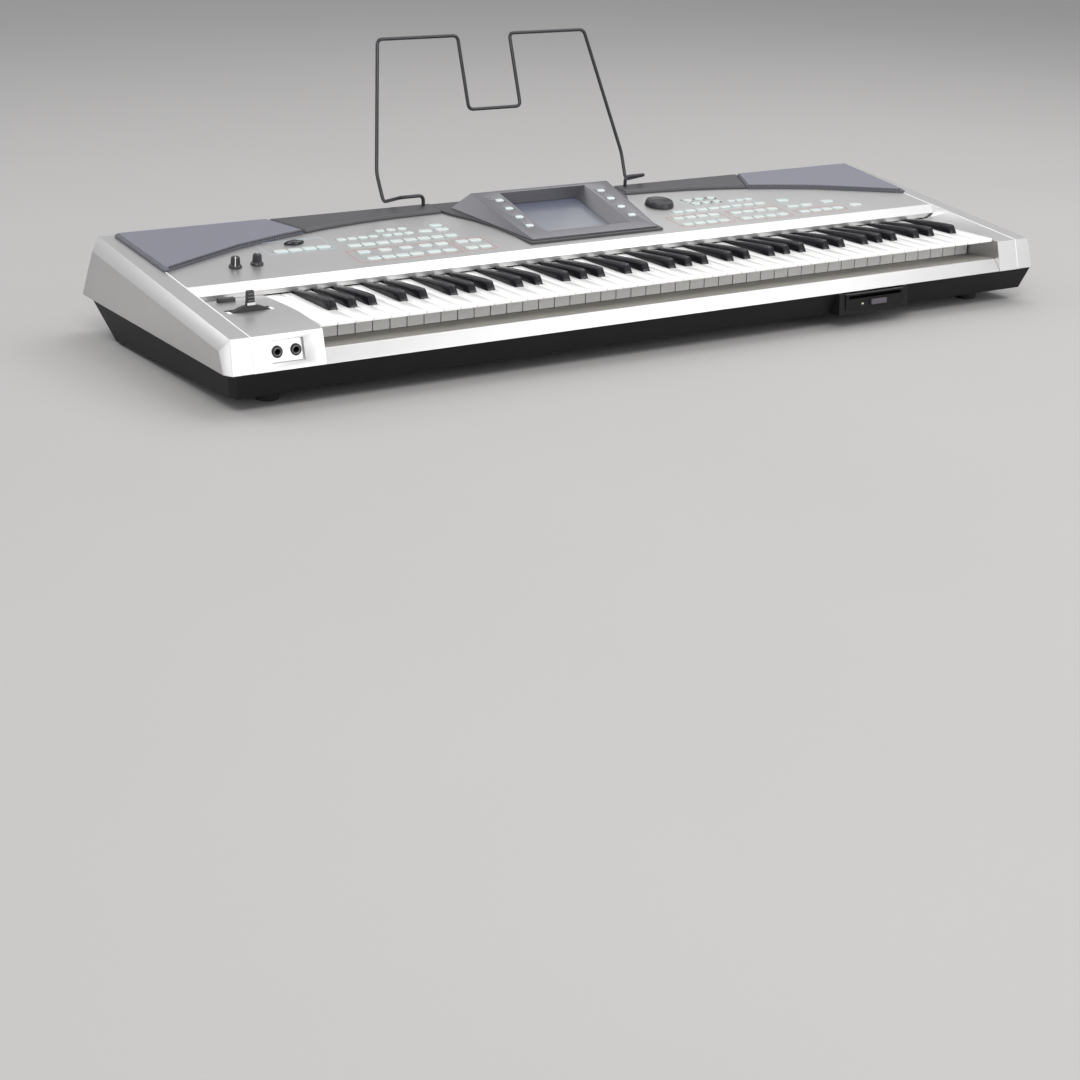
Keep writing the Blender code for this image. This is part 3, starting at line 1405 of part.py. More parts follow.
def build_drive():
    left, right = DRIVE_X - DRIVE_WIDTH / 2, DRIVE_X + DRIVE_WIDTH / 2
    low = z_at(drive_low())
    top = low + DRIVE_HEIGHT
    drive = corner_box("floppy_drive", (left, y_at(-DRIVE_PROUD), low),
                       (right, y_at(-DRIVE_PROUD + 0.006), top))
    join(drive, corner_box(
        "body", (left + 0.001, y_at(-DRIVE_PROUD + 0.004), low + 0.0005),
        (right - 0.001, y_at(-DRIVE_PROUD + DRIVE_LENGTH), top - 0.0008),
    ))
    wide, tall = DISK_SLOT
    slot_top = top - 0.0022
    cut(drive, corner_box(
        "disk_slot", (DRIVE_X - wide / 2, y_at(-DRIVE_PROUD - 0.01), slot_top - tall),
        (DRIVE_X + wide / 2, y_at(-DRIVE_PROUD + 0.095), slot_top),
    ))
    x, z = eject_place()
    width, height = EJECT_SIZE
    cut(drive, corner_box(
        "eject_hole",
        (x - width / 2 - RUNNING, y_at(-DRIVE_PROUD - 0.01), z - height / 2 - RUNNING),
        (x + width / 2 + RUNNING, y_at(-DRIVE_PROUD + 0.016), z + height / 2 + RUNNING),
    ))
    finish(flatten(drive), "black_plastic")
    button = corner_box(
        "eject_button", (x - width / 2, y_at(-DRIVE_PROUD - EJECT_PROUD), z - height / 2),
        (x + width / 2, y_at(-DRIVE_PROUD + 0.010), z + height / 2),
    )
    move_origin(button, (x, y_at(-DRIVE_PROUD), z))
    finish(button, "button")


def eject_place():
    return DRIVE_X + 0.006, z_at(drive_low()) + 0.0082


def build_rear():
    """Connector plate, mains inlet and rocker switch in the sloping rear wall."""
    length, height, thick = PLATE_SIZE
    plate = corner_box(
        "rear_jack_plate",
        (-length / 2 + RUNNING, -height / 2 + RUNNING, -WALL - 0.001),
        (length / 2 - RUNNING, height / 2 - RUNNING, -0.001),
    )
    join(plate, corner_box(
        "flange",
        (-length / 2 - 0.003, -height / 2 - 0.003, -WALL - GAP - thick),
        (length / 2 + 0.003, height / 2 + 0.003, -WALL - GAP),
    ))
    for index in range(8):
        x = (index - 3.5) * SOCKET_PITCH
        radius = 0.0068 if index < 2 else 0.0045
        cut(plate, cylinder("socket", radius, (x, 0, -0.02), (x, 0, 0.01), 12))
    finish(flatten(plate), "black_plastic")
    plate.parent = rear_frame

    inlet_x = INLET_X - PLATE_X
    inlet = corner_box(
        "power_inlet", (inlet_x - 0.0138, -0.0113, -0.020), (inlet_x + 0.0138, 0.0113, 0.001),
    )
    join(inlet, corner_box(
        "inlet_flange", (inlet_x - 0.017, -0.0145, GAP), (inlet_x + 0.017, 0.0145, 0.002),
    ))
    cut(inlet, corner_box(
        "inlet_mouth", (inlet_x - 0.0120, -0.0085, -0.0165), (inlet_x + 0.0120, 0.0085, 0.01),
    ))
    finish(flatten(inlet), "black_plastic")
    inlet.parent = rear_frame

    switch_x = inlet_x + 0.039
    rocker = prism(
        "power_switch",
        [(-0.0102, 0.0025), (0.0, 0.0008), (0.0102, 0.0025), (0.0090, -0.0060), (-0.0090, -0.0060)][::-1],
        switch_x - 0.0077, switch_x + 0.0077, "YZ",
    )
    move_origin(rocker, (switch_x, 0, -0.0015))
    rocker.parent = rear_frame
    finish(rocker, "black_plastic")


BOARD_RISE = -0.062
BOARD_DEPTH = 0.255


def board_x(sign):
    return HOOD_X + sign * (BOARD_SIZE[0] / 2 - 0.012)


def build_insides():
    length, width, thick = BOARD_SIZE
    board = corner_box(
        "main_board", (HOOD_X - length / 2, y_at(BOARD_DEPTH) - width / 2, z_at(BOARD_RISE)),
        (HOOD_X + length / 2, y_at(BOARD_DEPTH) + width / 2, z_at(BOARD_RISE) + thick),
    )
    low = z_at(BOARD_RISE) + thick / 2
    chips = [
        corner_box("chip", (HOOD_X + x - CHIP_SIZE[0] / 2, y_at(BOARD_DEPTH) - CHIP_SIZE[1] / 2, low),
                   (HOOD_X + x + CHIP_SIZE[0] / 2, y_at(BOARD_DEPTH) + CHIP_SIZE[1] / 2, low + CHIP_SIZE[2]))
        for x in (-length / 8, length / 8, length / 3)
    ]
    supply_left = HOOD_X - length / 2 + SUPPLY_INSET
    supply_back = y_at(BOARD_DEPTH) + width / 2 - SUPPLY_INSET
    chips.append(corner_box(
        "supply", (supply_left, supply_back - SUPPLY_SIZE[1], low),
        (supply_left + SUPPLY_SIZE[0], supply_back, low + SUPPLY_SIZE[2]),
    ))
    join(board, *chips)
    finish(flatten(board), "circuit")


def build_feet():
    for row, depth in (("front", FOOT_FRONT), ("rear", FOOT_REAR)):
        top = z_at(underside(depth + FOOT_RADIUS)) - GAP
        for side, sign in (("left", -1), ("right", 1)):
            foot = turned(f"foot_{row}_{side}", [
                (0, top), (FOOT_RADIUS, top), (FOOT_RADIUS - 0.0012, 0), (0, 0),
            ], 20)
            foot.location = (sign * FOOT_X, y_at(depth), 0)
            finish(foot, "rubber")


def build_music_rest():
    """One bent wire: a notched frame on two feet that plug into the rear trim."""

    def mirrored(points):
        return points + [(-x, y, z) for x, y, z in points[::-1]]

    seat_top = panel_rise(REST_SOCKET_BACK) + TRIM_HEIGHT
    lean = (REST_TOP_BACK - REST_KNEE_BACK) / (REST_TOP_RISE - REST_KNEE_RISE)
    notch_back = REST_KNEE_BACK + (REST_NOTCH_RISE - REST_KNEE_RISE) * lean
    corners = [Vector(p) for p in mirrored([
        (-REST_SOCKET, REST_SOCKET_BACK, panel_rise(REST_SOCKET_BACK) + 2 * GAP),
        (-REST_SOCKET, REST_SOCKET_BACK, REST_HEEL_RISE),
        (-REST_FOOT, REST_SOCKET_BACK, REST_HEEL_RISE),
        (-REST_FOOT, REST_FOOT_BACK, REST_FOOT_RISE),
        (-REST_FOOT - 0.002, REST_KNEE_BACK, REST_KNEE_RISE),
        (-REST_TOP, REST_TOP_BACK, REST_TOP_RISE),
        (-REST_NOTCH, REST_TOP_BACK, REST_TOP_RISE),
        (-REST_NOTCH, notch_back, REST_NOTCH_RISE),
    ])]
    radius = 0.007
    points = [corners[0]]
    for before, corner, after in zip(corners, corners[1:], corners[2:]):
        start = corner + (before - corner).normalized() * radius
        end = corner + (after - corner).normalized() * radius
        points += [start, start.lerp(end, 0.5).lerp(corner, 0.45), end]
    points.append(corners[-1])
    curve = bpy.data.curves.new("music_rest", "CURVE")
    curve.dimensions = "3D"
    curve.bevel_depth = WIRE_RADIUS
    curve.bevel_resolution = 2
    curve.use_fill_caps = True
    spline = curve.splines.new("POLY")
    spline.points.add(len(points) - 1)
    for target, point in zip(spline.points, points):
        target.co = (HOOD_X + point.x, y_at(point.y), z_at(point.z), 1)
    rest = mesh_of(bpy.data.objects.new("music_rest", curve))
    move_origin(rest, (HOOD_X, y_at(REST_SOCKET_BACK), z_at(seat_top)))
    finish(rest, "wire")


build_keys()
build_bottom_case()
build_end_cap("end_cap_left", -1)
build_end_cap("end_cap_right", 1)
build_control_block()
build_right_cheek()
build_assign_button()
build_bender()
build_jacks()
build_slip()
build_key_frame()
build_top_panel()
build_rear_wall()
build_keypads()
build_knobs()
build_lens()
build_rear_band()
build_speakers()
build_display()
build_drive()
build_rear()
build_insides()
build_feet()
build_music_rest()
for item in parts.objects:
    if item.type == "MESH":
        item.data.shade_smooth()
        item.data.set_sharp_from_angle(angle=math.radians(35))
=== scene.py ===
# Looks for the arranger keyboard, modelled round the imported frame
import math

import bmesh
import bpy
from mathutils import Matrix, Vector
from mathutils.bvhtree import BVHTree


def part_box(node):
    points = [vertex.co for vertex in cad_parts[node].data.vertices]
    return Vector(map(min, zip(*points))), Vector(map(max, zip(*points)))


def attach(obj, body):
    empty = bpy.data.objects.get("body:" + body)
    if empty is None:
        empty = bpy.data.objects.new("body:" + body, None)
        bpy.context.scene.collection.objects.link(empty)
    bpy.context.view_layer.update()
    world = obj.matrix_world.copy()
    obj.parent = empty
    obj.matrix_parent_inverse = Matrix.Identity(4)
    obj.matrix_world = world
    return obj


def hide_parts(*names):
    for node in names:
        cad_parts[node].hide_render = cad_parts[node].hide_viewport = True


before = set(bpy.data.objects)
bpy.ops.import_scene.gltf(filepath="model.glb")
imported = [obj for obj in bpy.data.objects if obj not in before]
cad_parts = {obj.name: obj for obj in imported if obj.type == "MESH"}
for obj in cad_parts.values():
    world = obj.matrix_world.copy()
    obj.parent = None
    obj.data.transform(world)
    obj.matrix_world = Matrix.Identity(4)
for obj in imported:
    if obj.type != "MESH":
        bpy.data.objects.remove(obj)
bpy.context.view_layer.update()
print("frame loaded:", len(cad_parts), "nodes")

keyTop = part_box("key_c")[1].z  # top of the white keys
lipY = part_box("key_c")[0].y  # lips of the white keys
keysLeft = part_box("low_white_keys")[0].x
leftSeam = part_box("end_cap_left")[1].x
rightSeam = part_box("end_cap_right")[0].x

panel = {"slope": math.radians(6.13), "front": 0.1685, "frontRise": 0.0158, "rear": 0.382}
hood = {"x": 0.0095, "front": 0.190, "rise": 0.0048, "tilt": math.radians(8.4)}


def panelRise(depth):  # height of the panel over the key tops
    return panel["frontRise"] + (depth - panel["front"]) * math.tan(panel["slope"])


def at(x, depth, rise):  # depth from the key lips, rise over the key tops
    return Vector((x, lipY + depth, keyTop + rise))


def upSlope(depth):  # distance along the panel's slope from the key lips
    return depth / math.cos(panel["slope"])


# Local frames: x across, y up the slope, z off the surface
panelPlace = Matrix.Translation(at(0, 0, panelRise(0))) @ Matrix.Rotation(panel["slope"], 4, "X")
hoodOrigin = panelPlace @ Vector((hood["x"], upSlope(hood["front"]), hood["rise"]))
hoodPlace = Matrix.Translation(hoodOrigin) @ Matrix.Rotation(panel["slope"] + hood["tilt"], 4, "X")


# Mesh helpers


def softLoop(points, radius, steps=3):  # a closed outline with its corners rounded
    loop = []
    count = len(points)
    for index in range(count):
        corner = Vector(points[index])
        before = Vector(points[index - 1]) - corner
        after = Vector(points[(index + 1) % count]) - corner
        size = radius[index] if isinstance(radius, (list, tuple)) else radius
        reach = min(size, before.length * 0.45, after.length * 0.45)
        if reach < 1e-6:
            loop.append(corner)
            continue
        start = corner + before.normalized() * reach
        end = corner + after.normalized() * reach
        for step in range(steps + 1):
            share = step / steps
            loop.append(start.lerp(corner, share).lerp(corner.lerp(end, share), share))
    return loop


def shrink(points, inset):  # an outline seen from above, anticlockwise, moved in by a margin
    moved = []
    count = len(points)
    for index in range(count):
        corner = Vector(points[index])
        inLeg = (corner - Vector(points[index - 1])).to_2d().normalized()
        outLeg = (Vector(points[(index + 1) % count]) - corner).to_2d().normalized()
        sideIn = Vector((-inLeg.y, inLeg.x))
        sideOut = Vector((-outLeg.y, outLeg.x))
        mitre = (sideIn + sideOut).normalized()
        reach = inset / max(0.3, mitre.dot(sideIn))
        moved.append(Vector((corner.x + mitre.x * reach, corner.y + mitre.y * reach, corner[2])))
    return moved


def flat(points, height):
    return [Vector((p[0], p[1], height)) for p in points]


def rectangle(x, y, width, length, height=0.0):
    w, l = width / 2, length / 2
    return [Vector((x - w, y - l, height)), Vector((x + w, y - l, height)),
            Vector((x + w, y + l, height)), Vector((x - w, y + l, height))]


def loft(shape, loops, place=None, capFirst=True, capLast=True):  # loops from the bottom up
    rings = [[shape.verts.new(place @ Vector(p) if place else Vector(p)) for p in loop]
             for loop in loops]
    for low, high in zip(rings, rings[1:]):
        for index in range(len(low)):
            after = (index + 1) % len(low)
            shape.faces.new((low[index], low[after], high[after], high[index]))
    if capFirst:
        shape.faces.new(rings[0][::-1])
    if capLast:
        shape.faces.new(rings[-1])


def circle(radius, height, steps, x=0.0):
    turns = [math.tau * i / steps for i in range(steps)]
    return [Vector((x + radius * math.cos(t), radius * math.sin(t), height)) for t in turns]


def crown(points, levels, radius, steps=3):  # (inset, height) pairs made loops of one outline
    return [softLoop(flat(shrink(points, inset), height), max(radius - inset, 0.0002), steps)
            for inset, height in levels]


def addObject(name, data):
    made = bpy.data.objects.new(name, data)
    bpy.context.scene.collection.objects.link(made)
    return made


def makePiece(name, shape):
    name = name.replace(" ", "-").replace("_", "-")
    mesh = bpy.data.meshes.new(name)
    shape.to_mesh(mesh)
    shape.free()
    return addObject(name, mesh)


def asMesh(piece):  # the evaluated object as a plain mesh, its place put into the vertices
    bpy.context.view_layer.update()
    graph = bpy.context.evaluated_depsgraph_get()
    mesh = bpy.data.meshes.new_from_object(piece.evaluated_get(graph))
    mesh.transform(piece.matrix_world)
    name = piece.name
    bpy.data.objects.remove(piece)
    return addObject(name, mesh)


def dress(piece, body, nodes, finish, smoothAngle=38):
    piece.data.materials.clear()
    piece.data.materials.append(finishes[finish])
    piece.data.shade_smooth()
    piece.data.set_sharp_from_angle(angle=math.radians(smoothAngle))
    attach(piece, body)
    if nodes:
        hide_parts(*nodes)


def addPiece(name, shape, body, nodes, finish, smoothAngle=38):
    dress(makePiece(name, shape), body, nodes, finish, smoothAngle)


def faceOut(shape):
    bmesh.ops.recalc_face_normals(shape, faces=shape.faces)


def cadShell(node, roundWidth, minLength, angle, alongX):
    # A copy of the node's own solid, with its long sharp edges rounded
    shape = bmesh.new()
    shape.from_mesh(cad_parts[node].data)
    bmesh.ops.remove_doubles(shape, verts=shape.verts, dist=1e-5)
    bmesh.ops.dissolve_limit(
        shape, angle_limit=math.radians(0.6), verts=shape.verts, edges=shape.edges,
    )
    chosen = []
    for edge in shape.edges:
        if len(edge.link_faces) != 2 or edge.calc_length() < minLength:
            continue
        along = (edge.verts[0].co - edge.verts[1].co).normalized()
        if alongX and abs(along.x) < 0.99:
            continue
        if edge.calc_face_angle(0.0) > math.radians(angle):
            chosen.append(edge)
    bmesh.ops.bevel(
        shape, geom=chosen, offset=roundWidth, offset_type="OFFSET", segments=2, profile=0.5,
        affect="EDGES", clamp_overlap=True,
    )
    return shape


# Materials


def setInputs(node, values):
    for socket, value in values.items():
        node.inputs[socket].default_value = value


def newMaterial(name):
    material = bpy.data.materials.new(name)
    material.use_nodes = True
    nodes = material.node_tree.nodes
    return material, nodes, material.node_tree.links, nodes["Principled BSDF"]


def surface(name, look):
    # A painted or moulded surface: its colour drifts a little, and its grain shows as fine bump
    material, nodes, links, shader = newMaterial(name)
    setInputs(shader, {**look.get("sockets", {}), "Metallic": look.get("metallic", 0.0)})
    where = nodes.new("ShaderNodeTexCoord").outputs["Object"]
    drift = nodes.new("ShaderNodeTexNoise")
    setInputs(drift, {"Scale": look.get("driftScale", 18.0), "Detail": 3.0})
    links.new(where, drift.inputs["Vector"])
    tint = nodes.new("ShaderNodeValToRGB")
    spread = look.get("drift", 0.04)
    colour = look["colour"]
    tint.color_ramp.elements[0].position = 0.35
    tint.color_ramp.elements[1].position = 0.65
    tint.color_ramp.elements[0].color = (*[c * (1 - spread) for c in colour], 1)
    tint.color_ramp.elements[1].color = (*[min(1, c * (1 + spread)) for c in colour], 1)
    links.new(drift.outputs["Fac"], tint.inputs["Fac"])
    links.new(tint.outputs["Color"], shader.inputs["Base Color"])
    grain = nodes.new("ShaderNodeTexNoise")
    setInputs(grain, {"Scale": look.get("grainScale", 1400.0), "Detail": 2.0})
    links.new(where, grain.inputs["Vector"])
    gloss = nodes.new("ShaderNodeMapRange")
    rough = look.get("roughness", 0.4)
    setInputs(gloss, {"To Min": rough * 0.88, "To Max": min(1.0, rough * 1.12)})
    links.new(grain.outputs["Fac"], gloss.inputs["Value"])
    links.new(gloss.outputs["Result"], shader.inputs["Roughness"])
    if look.get("bump", 0.0):
        bump = nodes.new("ShaderNodeBump")
        setInputs(bump, {"Strength": look["bump"], "Distance": 0.0002})
        links.new(grain.outputs["Fac"], bump.inputs["Height"])
        links.new(bump.outputs["Normal"], shader.inputs["Normal"])
    return material


looks = {  # each with its slot, where it has one
    "satin silver": {"slot": "silver", "colour": (0.6, 0.596, 0.592), "drift": 0.01, "metallic": 0.95,
        "roughness": 0.36, "grainScale": 2600.0, "bump": 0.03},
    # bright silver for the painted highlight along the end caps' joints, also used for the bender's
    # light slot ends
    "bead silver": {"slot": "silver", "colour": (0.88, 0.88, 0.88), "drift": 0.01, "metallic": 0.1,
        "bump": 0.02},
    "case black": {"slot": "black_case", "colour": (0.008, 0.008, 0.0085), "drift": 0.1,
        "roughness": 0.5, "grainScale": 900.0, "bump": 0.2, "sockets": {"Specular IOR Level": 0.22}},
    "trim grey": {"slot": "dark_trim", "colour": (0.047, 0.046, 0.05), "roughness": 0.42,
        "grainScale": 1500.0, "bump": 0.08},
    "hood grey": {"slot": "dark_trim", "colour": (0.15, 0.15, 0.163), "metallic": 0.5,
        "roughness": 0.38, "grainScale": 1500.0, "bump": 0.06},
    # the grille sheet's colour darkened for its front chamfer: painted shade
    "grille edge": {"slot": "grille", "colour": (0.085, 0.085, 0.105), "drift": 0.05, "roughness": 0.5,
        "bump": 0.1},
    "key white": {"slot": "white_key", "colour": (0.9, 0.9, 0.885), "drift": 0.01, "roughness": 0.22,
        "sockets": {"Coat Weight": 0.25, "Coat Roughness": 0.1}},
    "key black": {"slot": "black_key", "colour": (0.009, 0.009, 0.011), "drift": 0.1, "roughness": 0.2,
        "bump": 0.02, "sockets": {"Specular IOR Level": 0.36}},
    "tray beige": {"slot": "tray", "colour": (0.34, 0.325, 0.295), "drift": 0.05, "roughness": 0.6,
        "bump": 0.1},
    "button mint": {"slot": "button", "colour": (0.5, 0.56, 0.545), "drift": 0.03, "roughness": 0.35,
        "sockets": {"Subsurface Weight": 0.15, "Subsurface Scale": 0.002}},
    "gloss black": {"slot": "black_plastic", "colour": (0.01, 0.01, 0.012), "drift": 0.1,
        "roughness": 0.14, "bump": 0.02},
    "satin black": {"slot": "black_plastic", "colour": (0.016, 0.016, 0.018), "drift": 0.1,
        "roughness": 0.38, "bump": 0.08},
    "wire black": {"slot": "wire", "colour": (0.035, 0.035, 0.04), "drift": 0.08, "metallic": 0.5,
        "roughness": 0.28, "bump": 0.03},
    "foot rubber": {"slot": "rubber", "colour": (0.02, 0.02, 0.02), "drift": 0.15, "roughness": 0.85,
        "grainScale": 700.0, "bump": 0.3},
    "board green": {"slot": "circuit", "colour": (0.02, 0.13, 0.06), "drift": 0.25,
        "driftScale": 160.0},
    "screw steel": {"colour": (0.5, 0.5, 0.5), "drift": 0.05, "metallic": 1.0, "roughness": 0.35,
        "bump": 0.05},
    "ring grey": {"slot": "black_plastic", "colour": (0.16, 0.16, 0.165), "drift": 0.05,
        "metallic": 0.5, "roughness": 0.35},
    "line white": {"slot": "black_plastic", "colour": (0.7, 0.7, 0.7), "drift": 0.02, "roughness": 0.5},
    "line red": {"colour": (0.46, 0.17, 0.14), "drift": 0.03, "roughness": 0.5},
    "line blue": {"colour": (0.42, 0.56, 0.64), "drift": 0.03, "roughness": 0.5},
    "bezel black": {"slot": "black_plastic", "colour": (0.008, 0.008, 0.009), "drift": 0.1,
        "sockets": {"Specular IOR Level": 0.2}},
    "mark dark": {"slot": "grille", "colour": (0.035, 0.035, 0.038), "drift": 0.05, "roughness": 0.5},
    "eject grey": {"slot": "button", "colour": (0.09, 0.085, 0.1), "roughness": 0.45},
    "lamp pale": {"slot": "black_plastic", "colour": (0.6, 0.65, 0.5), "drift": 0.02, "roughness": 0.3},
}
finishes = {name: surface(name, look) for name, look in looks.items()}
slots = {name: look.get("slot") for name, look in looks.items()}
slots.update({"grille purple": "grille", "display window": "screen"})


def perforatedSheet(name, colour, hole, spacing):
    # Rows of small round holes, painted and dented by a square grid turned half a right angle
    material, nodes, links, shader = newMaterial(name)
    setInputs(shader, {"Metallic": 0.15, "Roughness": 0.5})
    where = nodes.new("ShaderNodeTexCoord").outputs["Object"]
    turn = nodes.new("ShaderNodeMapping")
    turn.inputs["Rotation"].default_value = (0, 0, math.radians(45))
    links.new(where, turn.inputs["Vector"])
    grid = nodes.new("ShaderNodeTexVoronoi")
    grid.voronoi_dimensions = "2D"
    setInputs(grid, {"Randomness": 0.0, "Scale": 1 / spacing})
    links.new(turn.outputs["Vector"], grid.inputs["Vector"])
    edge = nodes.new("ShaderNodeMapRange")
    setInputs(edge, {"From Min": hole / spacing * 0.42, "From Max": hole / spacing * 0.58})
    links.new(grid.outputs["Distance"], edge.inputs["Value"])
    mix = nodes.new("ShaderNodeMix")
    mix.data_type = "RGBA"
    setInputs(mix, {"A": (*[c * 0.6 for c in colour], 1), "B": (*colour, 1)})
    links.new(edge.outputs["Result"], mix.inputs["Factor"])
    links.new(mix.outputs["Result"], shader.inputs["Base Color"])
    bump = nodes.new("ShaderNodeBump")
    setInputs(bump, {"Strength": 0.4, "Distance": 0.0003})
    links.new(edge.outputs["Result"], bump.inputs["Height"])
    links.new(bump.outputs["Normal"], shader.inputs["Normal"])
    return material


def displayGlass(name, rear, front, low, high):
    # The unlit screen's bluish grey carries painted shade: darker at the back, paler towards the player
    material, nodes, links, shader = newMaterial(name)
    setInputs(shader, {"Roughness": 0.25, "Coat Weight": 0.3, "Coat Roughness": 0.1})
    split = nodes.new("ShaderNodeSeparateXYZ")
    links.new(nodes.new("ShaderNodeTexCoord").outputs["Object"], split.inputs["Vector"])
    share = nodes.new("ShaderNodeMapRange")
    setInputs(share, {"From Min": low, "From Max": high})
    links.new(split.outputs["Y"], share.inputs["Value"])
    mix = nodes.new("ShaderNodeMix")
    mix.data_type = "RGBA"
    setInputs(mix, {"A": (*front, 1), "B": (*rear, 1)})
    links.new(share.outputs["Result"], mix.inputs["Factor"])
    links.new(mix.outputs["Result"], shader.inputs["Base Color"])
    return material


finishes["grille purple"] = perforatedSheet("grille purple", (0.185, 0.185, 0.228), 0.0009, 0.0017)
glassLow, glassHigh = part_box("display_glass")
# colours at the back and at the front of the screen; the darker back is painted shade
finishes["display window"] = displayGlass(
    "display window", (0.082, 0.093, 0.135), (0.172, 0.18, 0.20), glassLow.y, glassHigh.y,
)
print("materials made")

# Keys

keys = {
    "pitch": 0.02357, "gap": 0.0009, "count": 45, "length": 0.150, "lip": 0.0048,
    "skirtBack": 0.0478, "skirtDepth": 0.031, "corner": 0.0011,
    "blackFront": 0.051, "blackBack": 0.1465, "blackWidth": 0.0125, "blackHeight": 0.011,
    "room": 0.0007, "notes": "EFGABCD", "middle": 19,
    "offsets": {"C": -0.0023, "D": 0.0023, "F": -0.0031, "G": 0.0, "A": 0.0031},
    "whiteHinge": 0.218, "blackHinge": 0.230, "skirtWall": 0.0015, "sunk": 0.0002,
    "arm": {"half": 0.0045, "overlap": 0.010, "past": 0.004, "low": -0.015, "high": -0.0085},
    "rib": {"half": 0.002, "clear": 0.001, "short": 0.003},
    "blackFoot": -0.0024, "blackNarrowing": 0.1155, "blackStations": (0.072, 0.092, 0.112, 0.130),
    "blackSlope": {"start": 0.058, "run": 0.088, "drop": 0.58, "bend": 1.3},
    "rail": {"short": 0.004, "front": 0.004, "back": 0.0037, "thick": 0.0059, "white": -0.0088,
             "black": -0.0018},
}
firstLip = keysLeft - keys["gap"] / 2  # left edge of the first key's place


def note(index):
    return keys["notes"][index % 7]


def hasBlack(index):
    return 0 <= index < keys["count"] - 1 and note(index) in keys["offsets"]


def blackCentre(index):
    return firstLip + (index + 1) * keys["pitch"] + keys["offsets"][note(index)]


def boxInto(shape, low, high):
    middle = (low + high) / 2
    base = rectangle(middle.x, middle.y, high.x - low.x, high.y - low.y, low.z)
    loft(shape, [base, flat(base, high.z)])


def whiteKey(shape, index):
    left = firstLip + index * keys["pitch"] + keys["gap"] / 2
    right = left + keys["pitch"] - keys["gap"]
    half = keys["blackWidth"] / 2 + keys["room"]
    tailLeft = blackCentre(index - 1) + half if hasBlack(index - 1) else left
    tailRight = blackCentre(index) - half if hasBlack(index) else right
    notch = keys["blackFront"] - keys["room"]
    outline = [at(left, 0, 0), at(right, 0, 0)]
    corners = [keys["corner"], keys["corner"]]
    if tailRight < right:
        outline += [at(right, notch, 0), at(tailRight, notch, 0)]
        corners += [keys["corner"], 0.0006]
    outline += [at(tailRight, keys["length"], 0), at(tailLeft, keys["length"], 0)]
    corners += [0.0004, 0.0004]
    if tailLeft > left:
        outline += [at(tailLeft, notch, 0), at(left, notch, 0)]
        corners += [0.0006, keys["corner"]]
    loops = []
    for inset, drop in ((0.0004, -keys["lip"]), (0, -keys["lip"] + 0.0004), (0, -0.0011),
                        (0.0001, -0.0005), (0.00035, -0.00015), (0.0008, 0)):
        loops.append(softLoop(flat(shrink(outline, inset), keyTop + drop), corners, 2))
    loft(shape, loops)
    inset = keys["gap"] / 3
    skirt = [
        at(left + inset, keys["skirtBack"], -keys["skirtDepth"]),
        at(right - inset, keys["skirtBack"], -keys["skirtDepth"]),
        at(right - inset, keys["skirtBack"] + keys["skirtWall"], -keys["skirtDepth"]),
        at(left + inset, keys["skirtBack"] + keys["skirtWall"], -keys["skirtDepth"]),
    ]
    loft(shape, [skirt, flat(skirt, keyTop - keys["lip"] + keys["sunk"])])
    middle = (tailLeft + tailRight) / 2
    arm, rib = keys["arm"], keys["rib"]
    boxInto(shape, at(middle - arm["half"], keys["length"] - arm["overlap"], arm["low"]),
            at(middle + arm["half"], keys["whiteHinge"] + arm["past"], arm["high"]))
    boxInto(shape, at(middle - rib["half"], keys["skirtBack"] + rib["clear"],
                      -keys["skirtDepth"] + rib["clear"]),
            at(middle + rib["half"], keys["length"] - rib["short"], -keys["lip"] + keys["sunk"]))


def blackTop(depth):  # share of its full height that a black key's top keeps at a depth
    slope = keys["blackSlope"]
    return 1 - slope["drop"] * max(0.0, (depth - slope["start"]) / slope["run"]) ** slope["bend"]


def blackKey(shape, index):
    middle = blackCentre(index)
    foot, full, narrowing = keys["blackFoot"], keys["blackHeight"], keys["blackNarrowing"]
    stations = keys["blackStations"]
    loops = []
    for inset, lean, height in (
        (0, 0, foot), (0, 0.0002, 0.0002), (0, 0.0015, 0.0030), (0.00005, 0.0040, 0.0082),
        (0.0002, 0.0048, 0.0098), (0.0006, 0.0055, 0.0106), (0.0013, 0.0065, full),
    ):
        front, back = keys["blackFront"] + lean, keys["blackBack"] - inset
        outline = [at(-1, front, 0), at(1, front, 0), *[at(1, d, 0) for d in stations],
                   at(1, back, 0), at(-1, back, 0), *[at(-1, d, 0) for d in stations[::-1]]]
        for point in outline:
            rise = foot + (height - foot) * blackTop(point.y - lipY)
            point.z = keyTop + rise
            half = keys["blackWidth"] / 2 - inset - narrowing * (rise - foot)
            point.x = middle + half * (1 if point.x > 0 else -1)
        loops.append(softLoop(outline, [0.0013, 0.0013, 0, 0, 0, 0, 0.0006, 0.0006, 0, 0, 0, 0], 2))
    loft(shape, loops)
    boxInto(shape, at(middle - 0.003, keys["blackFront"] + 0.0025, -0.014),
            at(middle + 0.003, keys["blackBack"] - 0.0025, -0.002))
    boxInto(shape, at(middle - 0.0027, keys["blackBack"] - 0.010, -0.008),
            at(middle + 0.0027, keys["blackHinge"] + 0.004, -0.0015))


def keyPiece(name, node, indices, build, finish):
    shape = bmesh.new()
    for index in indices:
        build(shape, index)
    if len(indices) > 1:
        low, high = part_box(node)
        colour, rail = "black" if build is blackKey else "white", keys["rail"]
        hinge, top = keys[f"{colour}Hinge"], rail[colour]
        boxInto(shape, at(low.x + rail["short"], hinge - rail["front"], top - rail["thick"]),
                at(high.x - rail["short"], hinge + rail["back"], top))
    addPiece(name, shape, node, [node], finish, 30)


